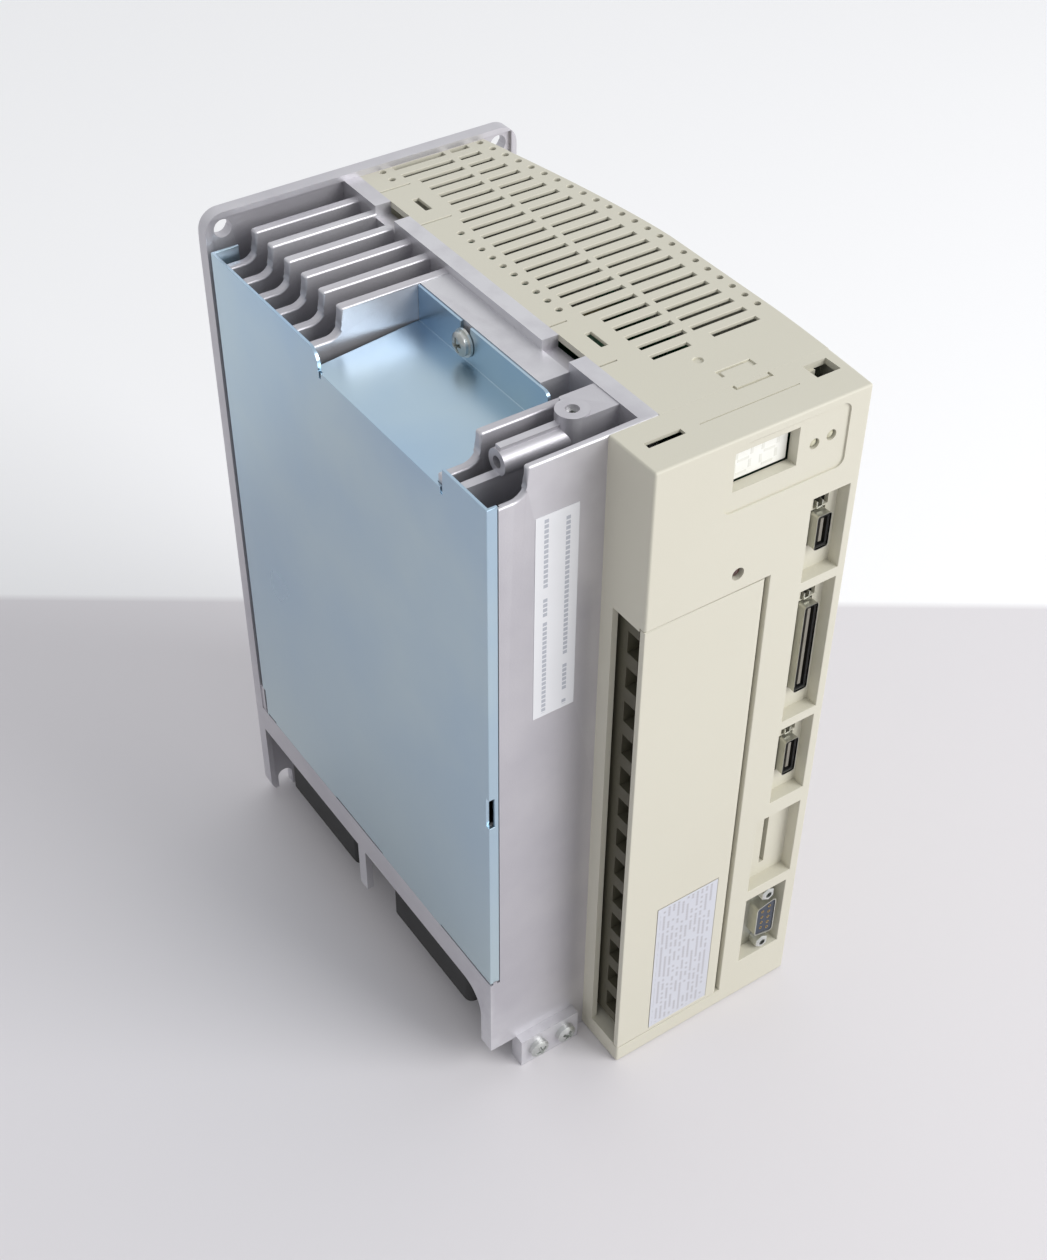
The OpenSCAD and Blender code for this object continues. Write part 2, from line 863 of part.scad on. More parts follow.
module front_outline(y0, y1, inset)
    polygon(concat(
        [[front_left + inset, y0]],
        [for (y = [y0 : (y1 - y0) / 5 : y1]) [right_edge(y) - inset, y]],
        [[front_left + inset, y1]]
    ));

module front_cover_shell()
    difference() {
        linear_extrude(body_h)
            front_outline(0, front_d, 0);
        translate([0, 0, wall])
            linear_extrude(body_h - 2 * wall)
                front_outline(wall, front_d + cut, wall);
    }

module hinge_lugs() {
    box([75, 82.8], [cut, 5.2], [leaf_high + part_gap, leaf_high + 5]);
    box([75, 82.8], [cut, 5.2], [wall - cut, leaf_low - part_gap]);
}

module front_cover_cuts() {
    // Recess that the terminal cover lies in, and the channel for its barrel
    box([front_left - cut, hinge_x + barrel_r + 1], [-cut, leaf_t + part_gap],
        [leaf_low - part_gap, leaf_high + part_gap]);
    box([hinge_x - barrel_r - 0.5, hinge_x + barrel_r + 1], [-cut, 2 * barrel_r + 0.5],
        [leaf_low - part_gap, leaf_high + part_gap]);
    // Opening over the terminals, and the slot down the left side
    box([front_left - cut, hatch_right], [-cut, hatch_y + wall + cut], slot_z);
    box([front_left - cut, front_left + wall + cut], [-cut, slot_y[1]], slot_z);
    // Hinge sockets
    rod_z(leaf_low - 2.6, leaf_low, hinge_x, barrel_r, pin_r + pin_fit);
    rod_z(leaf_high, leaf_high + 2.6, hinge_x, barrel_r, pin_r + pin_fit);
    // Connector recesses and the openings in their floors
    for (p = pockets)
        front_slab(-cut, pocket_depth)
            rect(p);
    for (p = [command_pocket, io_pocket, feedback_pocket])
        front_slab(pocket_depth - cut, 2 * pocket_depth) {
            rect(grown(port_shell(p), 0.2));
            rect(latch_window(p));
        }
    front_slab(pocket_depth - cut, 2 * pocket_depth)
        rect([96.5, 98.5, 60, 82]);
    front_slab(-cut, dsub_floor)
        rect(dsub_pocket);
    front_slab(dsub_floor - cut, 2 * dsub_floor)
        rect([dsub_center[0] - 5.7, dsub_center[0] + 5.7, dsub_center[1] - 9.7, dsub_center[1] + 9.7]);
    for (z = [-1, 1])
        rod_y(dsub_floor - cut, 2 * dsub_floor, dsub_center[0], dsub_center[1] + z * jack_pitch / 2, 1.8);
    // Operator panel, its window and lamp holes
    front_slab(-cut, panel_depth)
        round_rect(panel[0], panel[1], panel[2], panel[3], 3);
    front_slab(-cut, display_face + cut)
        rect(window);
    for (p = led_points)
        rod_y(-cut, wall + cut, p[0], p[1], 1.7);
    rod_y(-cut, wall + cut, lamp_point[0], lamp_point[1], 2.1);
    // Slot in the top, where the wall is thinner, and a square hole
    box([41, 56.5], [8.4, 13.6], [body_h - wall - cut, body_h - vent_skin]);
    box([42.8, 54.7], [9.8, 12.2], [body_h - wall - cut, body_h + cut]);
    box([99.8, 108], [10.5, 16.7], [body_h - wall - cut, body_h + cut]);
    // Grooves in the top
    box([77.8, 90.7], [17.8, 18.7], [body_h - groove_d, body_h + cut]);
    for (x = [[77.8, 78.7], [89.8, 90.7]])
        box(x, [17.8, front_d + cut], [body_h - groove_d, body_h + cut]);
    box([60, 94], [10.8, 11.2], [body_h - 0.3, body_h + cut]);
}

module front_cover()
    color([0.87, 0.85, 0.78])
        place()
            difference() {
                union() {
                    front_cover_shell();
                    hinge_lugs();
                    // Wall behind the terminal cover and the walls around the terminals
                    box([front_left + cut, 84], [leaf_t + part_gap, hatch_y + wall],
                        [leaf_low - part_gap, leaf_high + part_gap]);
                    box([hatch_right, hatch_right + 1.5], [hatch_y, front_d],
                        [slot_z[0] - 1.5, slot_z[1] + 1.5]);
                    for (z = [slot_z[0] - 1.5, slot_z[1]])
                        box([front_left + 1, hatch_right + 1.5], [hatch_y, front_d], [z, z + 1.5]);
                    // Solid surround of the connector recesses
                    box([92.2, 109], [cut, pocket_depth + pocket_floor], [90, 217.5]);
                    box([87.5, 109], [cut, dsub_floor + pocket_floor], [16.4, 90.1]);
                    // Tunnel behind the window, up to the display's face
                    box([window[0] - 1.5, window[1] + 1.5], [cut, display_face], [window[2] - 1.5, window[3] + 1.5]);
                    // Posts for the display board
                    for (x = [63.4, 101.5], z = [227, 240.6])
                        rod_y(wall - cut, 10, x, z, 1.3);
                    // Hooks that snap into the case
                    for (x = [[68, 80], [92, 104]]) {
                        box(x, [front_d - 4, front_d + 6], [body_h - 2 * wall, body_h - wall]);
                        box(x, [front_d - 4, front_d + 6], [wall, 2 * wall]);
                    }
                }
                front_cover_cuts();
            }

module terminal_cover()
    color([0.87, 0.85, 0.78])
        place()
            difference() {
                union() {
                    box([front_left, hinge_x], [0, leaf_t], [leaf_low, leaf_high]);
                    rod_z(leaf_low, leaf_high, hinge_x, barrel_r, barrel_r);
                    rod_z(leaf_low - 2.3, leaf_high + 2.3, hinge_x, barrel_r, pin_r);
                }
                box([50.6, 75], [-cut, 0.2], [9, 70.5]);
            }

module cover_label()
    color([0.85, 0.85, 0.87])
        place()
            box([50.6, 75], [0.05, 0.2], [9, 70.5]);

module front_label()
    color([0.90, 0.90, 0.90])
        place()
            box([15, 29], [front_d - 0.15, front_d], [158, 230.4]);

// ---- Terminals, display and connectors ----

function terminal_height(i) = terminal_z[0] + 8.6 + i * terminal_pitch;

module terminal_block()
    color([0.13, 0.13, 0.13])
        place()
            difference() {
                box(terminal_x, terminal_y, terminal_z);
                for (i = [0 : terminal_count - 1]) {
                    // Screw chamber at the front, wire entry on the left
                    box([46, 58], [terminal_y[0] - cut, terminal_y[0] + 5], [terminal_height(i) - 5, terminal_height(i) + 5]);
                    box([terminal_x[0] - cut, 46 + cut], [terminal_y[0] - cut, terminal_y[0] + 5],
                        [terminal_height(i) - 4, terminal_height(i) + 4]);
                    rod_y(terminal_y[0] + 4, terminal_y[1] - 2, 52, terminal_height(i), 1.75);
                }
            }

module terminal_screws()
    color([0.80, 0.78, 0.70])
        place()
            for (i = [0 : terminal_count - 1])
                translate([52, terminal_y[0] + 5, terminal_height(i)])
                    rotate([0, 0, 90])
                        pan_screw(3.4, 2.2, 1.75, 6);

module display_board()
    color([0.10, 0.35, 0.20])
        place()
            box([62, 103], [10, 10 + board_t], [224, 244]);

module segment_display()
    color([0.95, 0.95, 0.93])
        place()
            box([window[0] + 0.4, window[1] - 0.7], [display_face, 10], [window[2] + 0.6, window[3] - 0.3]);

module status_leds()
    color([0.55, 0.75, 0.45])
        place()
            for (p = led_points)
                rod_y(1, 10, p[0], p[1], 1.5);

module charge_lamp()
    color([0.65, 0.25, 0.20])
        place() {
            rod_y(0.8, wall, lamp_point[0], lamp_point[1], 1.9);
            rod_y(wall, wall + 5, lamp_point[0], lamp_point[1], 3);
        }

function port_shell(pocket) =
    [port_x[0], port_x[1], pocket[2] + port_margin[0], pocket[3] - port_margin[1]];

// Latching data connector: a body on the control board and a nose that stands in its recess
module port(pocket) {
    shell = port_shell(pocket);
    nose = grown(shell, -port_skin);
    box([shell[0], control_board_x], [2 * pocket_depth, port_back], [shell[2] - 3, shell[3] + 3]);
    difference() {
        box([nose[0], nose[1]], [port_face + 0.5, 2 * pocket_depth + cut], [nose[2], nose[3]]);
        // Socket with a tongue for the contacts down its middle
        difference() {
            box([nose[0] + 0.6, nose[1] - 0.6], [port_face, port_face + 5], [nose[2] + 0.6, nose[3] - 0.6]);
            box([nose[0] + 1.6, nose[1] - 1.6], [port_face + 1, port_face + 5 + cut], [nose[2] + 1.5, nose[3] - 1.5]);
        }
    }
}

module command_port()
    color([0.10, 0.10, 0.10])
        place()
            port(command_pocket);

module io_port()
    color([0.10, 0.10, 0.10])
        place()
            port(io_pocket);

module feedback_port()
    color([0.10, 0.10, 0.10])
        place()
            port(feedback_pocket);

module port_shells()
    color([0.75, 0.75, 0.72])
        place()
            for (p = [command_pocket, io_pocket, feedback_pocket]) {
                shell = port_shell(p);
                front_slab(port_face, 2 * pocket_depth)
                    difference() {
                        rect(shell);
                        rect(grown(shell, -port_skin));
                    }
            }

module dsub_connector()
    color([0.75, 0.75, 0.72])
        place()
            difference() {
                union() {
                    box([dsub_center[0] - 6.2, dsub_center[0] + 6.2], [dsub_floor - 1, dsub_floor],
                        [dsub_pocket[2] + 0.2, dsub_center[1] + 15]);
                    box([dsub_center[0] - 5.5, control_board_x], [dsub_floor, port_back],
                        [dsub_center[1] - 9.5, dsub_center[1] + 9.5]);
                    box([dsub_center[0] - 4.1, dsub_center[0] + 4.1], [dsub_face, dsub_floor],
                        [dsub_center[1] - 8.4, dsub_center[1] + 8.4]);
                }
                for (s = [-1, 1])
                    rod_y(0, 2 * dsub_floor, dsub_center[0], dsub_center[1] + s * jack_pitch / 2, 1.5);
            }

module dsub_jack_screws()
    color([0.80, 0.80, 0.78])
        place()
            for (s = [-1, 1])
                difference() {
                    union() {
                        translate([dsub_center[0], dsub_floor - 1, dsub_center[1] + s * jack_pitch / 2])
                            rotate([90, 0, 0])
                                cylinder(h = 4.4, r = 2.75, $fn = 6);
                        rod_y(dsub_floor - 1, 2 * dsub_floor - 2, dsub_center[0],
                              dsub_center[1] + s * jack_pitch / 2, 1.5);
                    }
                    rod_y(0, 5, dsub_center[0], dsub_center[1] + s * jack_pitch / 2, 1.25);
                }

heatsink_casting();
duct_cover();
duct_cover_screw();
boss_screw();
braking_resistor();
resistor_screws();
rear_fan_frame();
rear_fan_rotor();
front_fan_frame();
front_fan_rotor();
fan_screws();
power_module();
rectifier_module();
module_screws();
power_board();
control_board();
board_spacers();
board_screws();
bus_capacitors();
soft_start_relay();
current_sensors();
main_case();
front_cover();
terminal_cover();
cover_label();
front_label();
terminal_block();
terminal_screws();
ground_screws();
display_board();
segment_display();
status_leds();
charge_lamp();
command_port();
io_port();
feedback_port();
port_shells();
dsub_connector();
dsub_jack_screws();
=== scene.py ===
# %% [markdown]
# # A wall-mounted servo drive
# A servo drive is a flat electronics box on a heatsink. On the left is an aluminium casting with
# tall fins, closed by a zinc-plated sheet. On the right is a beige plastic case whose front holds
# the connectors and a hinged cover over the power terminals. The engineering parts come in as
# ready solids, so this script only gives them soft edges, real surfaces, and the small pieces
# that a solid model leaves plain: screws, contacts, fan blades, lamps and print.

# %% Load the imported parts
import json
import math

import bmesh
import bpy
from mathutils import Matrix, Vector


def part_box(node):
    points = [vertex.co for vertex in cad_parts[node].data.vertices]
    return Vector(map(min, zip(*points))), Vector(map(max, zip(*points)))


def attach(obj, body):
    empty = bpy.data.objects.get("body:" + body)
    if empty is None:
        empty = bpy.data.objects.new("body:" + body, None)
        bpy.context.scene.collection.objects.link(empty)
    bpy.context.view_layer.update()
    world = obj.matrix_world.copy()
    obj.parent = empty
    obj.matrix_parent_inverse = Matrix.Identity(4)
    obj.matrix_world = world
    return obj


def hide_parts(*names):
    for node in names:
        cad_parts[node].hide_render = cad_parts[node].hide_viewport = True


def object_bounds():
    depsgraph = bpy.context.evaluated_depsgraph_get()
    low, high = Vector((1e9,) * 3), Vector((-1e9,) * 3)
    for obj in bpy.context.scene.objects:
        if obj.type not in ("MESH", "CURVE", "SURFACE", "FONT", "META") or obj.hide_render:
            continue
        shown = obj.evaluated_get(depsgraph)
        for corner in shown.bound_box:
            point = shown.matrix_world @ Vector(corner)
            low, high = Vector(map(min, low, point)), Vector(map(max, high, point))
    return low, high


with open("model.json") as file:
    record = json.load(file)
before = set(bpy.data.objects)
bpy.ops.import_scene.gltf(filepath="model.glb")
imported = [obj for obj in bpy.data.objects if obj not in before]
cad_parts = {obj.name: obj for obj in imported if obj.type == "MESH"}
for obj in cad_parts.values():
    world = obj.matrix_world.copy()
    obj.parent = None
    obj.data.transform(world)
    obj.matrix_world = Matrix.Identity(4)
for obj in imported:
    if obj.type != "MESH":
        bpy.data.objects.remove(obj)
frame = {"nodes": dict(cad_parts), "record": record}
scene = bpy.context.scene
cad_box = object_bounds()
MM = 0.001
print("parts:", len(frame["nodes"]), "size in mm:", [round(v / MM, 1) for v in cad_box[1] - cad_box[0]])

# %% [markdown]
# ## Camera
# The camera looks down on the drive from its front left. It could be aimed with a Track To
# constraint, but a matrix built from three angles keeps the small roll exact: "back" points
# from the object to the camera, and the other two axes follow from it.

# %% Place the camera
camera_turn = math.radians(-34.37)
camera_height_angle = math.radians(41.62)
camera_roll = math.radians(0.50)
camera_place = Vector((-0.2549, -0.3770, 0.5244))

back = Vector((
    math.sin(camera_turn) * math.cos(camera_height_angle),
    -math.cos(camera_turn) * math.cos(camera_height_angle),
    math.sin(camera_height_angle),
))
side = Vector((0, 0, 1)).cross(back).normalized()
above = back.cross(side)
rolled_side = side * math.cos(camera_roll) + above * math.sin(camera_roll)
rolled_above = above * math.cos(camera_roll) - side * math.sin(camera_roll)
camera_data = bpy.data.cameras.new("camera")
camera_data.lens = 52.6
camera_data.sensor_width = 36
camera_data.clip_start = 0.01
camera = bpy.data.objects.new("camera", camera_data)
camera.matrix_world = Matrix.Translation(camera_place) @ Matrix(
    (rolled_side, rolled_above, back)).transposed().to_4x4()
scene.collection.objects.link(camera)
scene.camera = camera
print("camera at", [round(v, 3) for v in camera_place])

# %% [markdown]
# ## Shader tools
# Every finish below is a node tree. A few effects are wanted by several of them: tone that
# drifts over a surface, fine grain, and lines of print. Each becomes a node group, built once.
# Groups give out colours, masks and heights only. The shader itself stays in the material.

# %% Helpers that build node trees
def shade(red, green, blue):
    """Turns an everyday 0-255 colour into the linear colour that shaders use."""
    def linear(value):
        value = value / 255
        return value / 12.92 if value <= 0.04045 else ((value + 0.055) / 1.055) ** 2.4
    return (linear(red), linear(green), linear(blue), 1.0)


def new_group(name, inputs, outputs):
    """Starts a shader node group and returns its tree, its input node and its output node."""
    tree = bpy.data.node_groups.new(name, "ShaderNodeTree")
    for label, kind, start in inputs:
        socket = tree.interface.new_socket(label, in_out="INPUT", socket_type=kind)
        socket.default_value = start
    for label, kind in outputs:
        tree.interface.new_socket(label, in_out="OUTPUT", socket_type=kind)
    return tree, tree.nodes.new("NodeGroupInput"), tree.nodes.new("NodeGroupOutput")


def math_node(tree, operation, first, second=None, third=None):
    """Adds a Math node; each input is a socket or a plain number."""
    node = tree.nodes.new("ShaderNodeMath")
    node.operation = operation
    for slot, value in zip(node.inputs, (first, second, third)):
        if value is None:
            continue
        if isinstance(value, (int, float)):
            slot.default_value = value
        else:
            tree.links.new(value, slot)
    return node.outputs[0]


def mixed_colour(tree, factor, first, second):
    """Adds a colour Mix node; factor and colours are sockets or plain values."""
    node = tree.nodes.new("ShaderNodeMix")
    node.data_type = "RGBA"
    for slot, value in ((node.inputs[0], factor), (node.inputs[6], first), (node.inputs[7], second)):
        if isinstance(value, (int, float, tuple)):
            slot.default_value = value
        else:
            tree.links.new(value, slot)
    return node.outputs[2]


def noise(tree, position, scale, detail=3.0, roughness=0.5):
    """Adds a Noise texture and returns its grey output."""
    node = tree.nodes.new("ShaderNodeTexNoise")
    node.inputs["Detail"].default_value = detail
    node.inputs["Roughness"].default_value = roughness
    tree.links.new(position, node.inputs["Vector"])
    if isinstance(scale, (int, float)):
        node.inputs["Scale"].default_value = scale
    else:
        tree.links.new(scale, node.inputs["Scale"])
    return node.outputs[0]


def part_position(tree):
    """The point on the part, in metres."""
    return tree.nodes.new("ShaderNodeTexCoord").outputs["Object"]


# %% Group: tone that drifts slowly over a surface
def build_tone_drift():
    tree, given, result = new_group(
        "tone_drift",
        [("Main", "NodeSocketColor", (0.5, 0.5, 0.5, 1)), ("Other", "NodeSocketColor", (0.4, 0.4, 0.4, 1)),
         ("Patches Per Metre", "NodeSocketFloat", 20.0), ("Amount", "NodeSocketFloat", 0.5)],
        [("Color", "NodeSocketColor"), ("Mask", "NodeSocketFloat")],
    )
    cloud = noise(tree, part_position(tree), given.outputs["Patches Per Metre"], 4.0)
    spread = math_node(tree, "MULTIPLY_ADD", cloud, 2.4, -0.7)
    limited = math_node(tree, "MINIMUM", math_node(tree, "MAXIMUM", spread, 0.0), 1.0)
    mask = math_node(tree, "MULTIPLY", limited, given.outputs["Amount"])
    mixed = mixed_colour(tree, mask, given.outputs["Main"], given.outputs["Other"])
    tree.links.new(mixed, result.inputs["Color"])
    tree.links.new(mask, result.inputs["Mask"])
    return tree


# %% Group: fine grain, as a height
def build_fine_grain():
    tree, given, result = new_group(
        "fine_grain",
        [("Grains Per Metre", "NodeSocketFloat", 2500.0), ("Coarse Share", "NodeSocketFloat", 0.3)],
        [("Height", "NodeSocketFloat")],
    )
    where = part_position(tree)
    fine = noise(tree, where, given.outputs["Grains Per Metre"], 2.0)
    coarse_scale = math_node(tree, "MULTIPLY", given.outputs["Grains Per Metre"], 0.18)
    coarse = noise(tree, where, coarse_scale, 3.0)
    height = math_node(tree, "MULTIPLY_ADD", coarse, given.outputs["Coarse Share"], fine)
    tree.links.new(height, result.inputs["Height"])
    return tree


# %% Group: edges rubbed bright by handling
def build_worn_edges():
    tree, given, result = new_group(
        "worn_edges",
        [("Surface", "NodeSocketColor", (0.5, 0.5, 0.5, 1)),
         ("Rubbed", "NodeSocketColor", (0.8, 0.8, 0.8, 1)),
         ("Amount", "NodeSocketFloat", 0.5)],
        [("Color", "NodeSocketColor"), ("Mask", "NodeSocketFloat")],
    )
    geometry = tree.nodes.new("ShaderNodeNewGeometry")
    edge = math_node(tree, "MULTIPLY_ADD", geometry.outputs["Pointiness"], 14.0, -7.2)
    broken = math_node(tree, "MULTIPLY", edge, noise(tree, part_position(tree), 160.0, 4.0))
    limited = math_node(tree, "MINIMUM", math_node(tree, "MAXIMUM", broken, 0.0), 1.0)
    mask = math_node(tree, "MULTIPLY", limited, given.outputs["Amount"])
    mixed = mixed_colour(tree, mask, given.outputs["Surface"], given.outputs["Rubbed"])
    tree.links.new(mixed, result.inputs["Color"])
    tree.links.new(mask, result.inputs["Mask"])
    return tree


# %% Group: rows of short dashes that stand for print
def build_print_rows():
    tree, given, result = new_group(
        "print_rows",
        [("Along", "NodeSocketFloat", 0.0), ("Across", "NodeSocketFloat", 0.0),
         ("Row Pitch", "NodeSocketFloat", 0.003), ("Row Share", "NodeSocketFloat", 0.5),
         ("Dash Pitch", "NodeSocketFloat", 0.0016), ("Fill", "NodeSocketFloat", 0.8),
         ("Start", "NodeSocketFloat", 0.0)],
        [("Mask", "NodeSocketFloat")],
    )
    from_start = math_node(tree, "SUBTRACT", given.outputs["Across"], given.outputs["Start"])
    row = math_node(tree, "DIVIDE", from_start, given.outputs["Row Pitch"])
    row_number = math_node(tree, "FLOOR", row)
    row_part = math_node(tree, "SUBTRACT", row, row_number)
    in_row = math_node(tree, "LESS_THAN", row_part, given.outputs["Row Share"])
    dash = math_node(tree, "DIVIDE", given.outputs["Along"], given.outputs["Dash Pitch"])
    dash_number = math_node(tree, "FLOOR", dash)
    in_dash = math_node(tree, "LESS_THAN", math_node(tree, "SUBTRACT", dash, dash_number), 0.72)
    join = tree.nodes.new("ShaderNodeCombineXYZ")
    tree.links.new(dash_number, join.inputs[0])
    tree.links.new(row_number, join.inputs[1])
    chance = tree.nodes.new("ShaderNodeTexWhiteNoise")
    chance.noise_dimensions = "2D"
    tree.links.new(join.outputs[0], chance.inputs["Vector"])
    printed = math_node(tree, "LESS_THAN", chance.outputs["Value"], given.outputs["Fill"])
    mask = math_node(tree, "MULTIPLY", math_node(tree, "MULTIPLY", in_row, in_dash), printed)
    tree.links.new(mask, result.inputs["Mask"])
    return tree


tone_drift = build_tone_drift()
fine_grain = build_fine_grain()
worn_edges = build_worn_edges()
print_rows = build_print_rows()
print("shared groups:", [g.name for g in bpy.data.node_groups])

# %% [markdown]
# ## Finishes
# The beige shells are moulded with a fine spark-eroded texture, so they need a soft, even gloss
# and a grain you feel more than see. The casting is raw aluminium: duller in patches, brighter
# where edges are rubbed. The duct cover is bright zinc with a blue passivation that turns
# slightly green and yellow in places, and it is painted paler towards its bottom edge as a
# painted reflection of the table. One function builds the common tree, and each finish has
# its own values.

# %% The common tree for moulded, cast and plated surfaces
def surface(name, main, other, rough, metallic=0.0, patches=18.0, drift=0.6, grain=2500.0, depth=0.00002,
            rubbed=None, rub=0.0, rough_spread=0.08, painted_reflection_span=None):
    """A material with drifting tone, fine grain and, if wanted, rubbed edges or a painted reflection that
    turns it paler over its height.
    """
    material = bpy.data.materials.new(name)
    material.use_nodes = True
    tree = material.node_tree
    shader = tree.nodes["Principled BSDF"]
    shader.inputs["Metallic"].default_value = metallic
    drifting = tree.nodes.new("ShaderNodeGroup")
    drifting.node_tree = tone_drift
    drifting.inputs["Main"].default_value = main
    drifting.inputs["Other"].default_value = other
    drifting.inputs["Patches Per Metre"].default_value = patches
    drifting.inputs["Amount"].default_value = drift
    colour = drifting.outputs["Color"]
    # Painted reflection: between the two given heights the colour is mixed more and more towards the paler
    # tone going down, standing in for the bright table mirrored in the lower part of the sheet.
    if painted_reflection_span:
        split = tree.nodes.new("ShaderNodeSeparateXYZ")
        tree.links.new(part_position(tree), split.inputs[0])
        share = tree.nodes.new("ShaderNodeMapRange")
        share.inputs["From Min"].default_value = painted_reflection_span[0]
        share.inputs["From Max"].default_value = painted_reflection_span[1]
        tree.links.new(split.outputs[2], share.inputs["Value"])
        colour = mixed_colour(tree, math_node(tree, "MULTIPLY", share.outputs["Result"], 0.8), colour, other)
    if rubbed:
        worn = tree.nodes.new("ShaderNodeGroup")
        worn.node_tree = worn_edges
        worn.inputs["Rubbed"].default_value = rubbed
        worn.inputs["Amount"].default_value = rub
        tree.links.new(colour, worn.inputs["Surface"])
        colour = worn.outputs["Color"]
    tree.links.new(colour, shader.inputs["Base Color"])
    grains = tree.nodes.new("ShaderNodeGroup")
    grains.node_tree = fine_grain
    grains.inputs["Grains Per Metre"].default_value = grain
    bump = tree.nodes.new("ShaderNodeBump")
    bump.inputs["Distance"].default_value = depth
    bump.inputs["Strength"].default_value = 1.0
    tree.links.new(grains.outputs["Height"], bump.inputs["Height"])
    tree.links.new(bump.outputs["Normal"], shader.inputs["Normal"])
    roughness = math_node(tree, "MULTIPLY_ADD", drifting.outputs["Mask"], rough_spread, rough)
    tree.links.new(roughness, shader.inputs["Roughness"])
    return material


# %% Finishes for the shells, the casting and the sheet
finishes = {
    "beige_plastic": surface("beige_moulding", shade(206, 203, 188), shade(201, 197, 181), 0.50,
                             patches=9.0, grain=2600.0, depth=0.000018),
    "cast_aluminium": surface("raw_casting", shade(206, 204, 208), shade(184, 182, 189), 0.42, metallic=0.70,
                              patches=26.0, drift=0.7, grain=1500.0, depth=0.000035,
                              rubbed=shade(226, 226, 229), rub=0.6, rough_spread=0.12),
    # The zinc sheet is painted paler towards its bottom as a painted reflection of the table.
    "zinc_sheet": surface("blue_zinc", shade(154, 186, 218), shade(204, 220, 222), 0.27, metallic=0.92,
                          painted_reflection_span=(0.24, 0.03), patches=10.0, drift=0.8, grain=900.0,
                          depth=0.000006, rough_spread=0.06),
    "plated_screw": surface("zinc_screw", shade(205, 208, 205), shade(180, 184, 178), 0.28, metallic=0.95,
                            patches=300.0, grain=3000.0, depth=0.00001, rubbed=shade(240, 240, 238), rub=0.6),
    "plated_shell": surface("tin_shell", shade(196, 196, 186), shade(176, 176, 168), 0.30, metallic=0.9,
                            patches=120.0, grain=2500.0, depth=0.000008),
    "black_plastic": surface("black_moulding", shade(22, 22, 21), shade(15, 15, 15), 0.52,
                             patches=60.0, grain=2500.0, depth=0.00002),
    "dark_plastic": surface("epoxy_case", shade(44, 44, 48), shade(32, 32, 36), 0.40,
                            patches=60.0, grain=1800.0, depth=0.00002),
    "board_green": surface("solder_resist", shade(24, 88, 54), shade(18, 70, 44), 0.28,
                           patches=90.0, grain=900.0, depth=0.00001),
    "brass_part": surface("nickelled_brass", shade(196, 184, 140), shade(178, 164, 118), 0.30, metallic=0.95,
                          patches=120.0, grain=2500.0, depth=0.000008),
    "capacitor_sleeve": surface("shrink_sleeve", shade(34, 38, 66), shade(26, 28, 52), 0.25,
                                patches=60.0, grain=1200.0, depth=0.00001),
    "resistor_housing": surface("resistor_extrusion", shade(178, 172, 148), shade(158, 152, 128), 0.40,
                                metallic=0.8, patches=60.0, grain=1800.0, depth=0.00002),
    "blue_plastic": surface("relay_case", shade(48, 78, 134), shade(40, 66, 116), 0.35,
                            patches=60.0, grain=1800.0, depth=0.00001),
    "white_plastic": surface("display_case", shade(238, 238, 232), shade(228, 228, 222), 0.35,
                             patches=90.0, grain=2000.0, depth=0.000008),
    "terminal_plastic": surface("terminal_moulding", shade(90, 87, 72), shade(76, 73, 61), 0.50,
                                patches=60.0, grain=2200.0, depth=0.00002),
    "port_tongue": surface("port_tongue", shade(132, 127, 116), shade(112, 108, 98), 0.40,
                           patches=200.0, grain=2000.0, depth=0.000006),
    "slate_plastic": surface("slate_moulding", shade(52, 60, 74), shade(42, 48, 60), 0.42,
                             patches=120.0, grain=2000.0, depth=0.00001),
    "segment_off": surface("unlit_segment", shade(226, 226, 218), shade(216, 216, 208), 0.30,
                           patches=300.0, grain=2000.0, depth=0.000004),
    "contact_gold": surface("contact_gold", shade(214, 178, 92), shade(196, 158, 74), 0.25, metallic=1.0,
                            patches=300.0, grain=3000.0, depth=0.000004),
}
print("finishes:", len(finishes))

# %% [markdown]
# Lamps and labels need trees of their own. A lamp is a tinted lens over a dark chip, and a label
# is coated paper with rows of dashes, so that it reads as printed without saying anything.

# %% Finishes for lenses and labels
def lens(name, tint, glow):
    material = bpy.data.materials.new(name)
    material.use_nodes = True
    tree = material.node_tree
    shader = tree.nodes["Principled BSDF"]
    shader.inputs["Roughness"].default_value = 0.12
    shader.inputs["IOR"].default_value = 1.49
    shader.inputs["Coat Weight"].default_value = 0.4
    drifting = tree.nodes.new("ShaderNodeGroup")
    drifting.node_tree = tone_drift
    drifting.inputs["Main"].default_value = tint
    drifting.inputs["Other"].default_value = glow
    drifting.inputs["Patches Per Metre"].default_value = 700.0
    tree.links.new(drifting.outputs["Color"], shader.inputs["Base Color"])
    return material


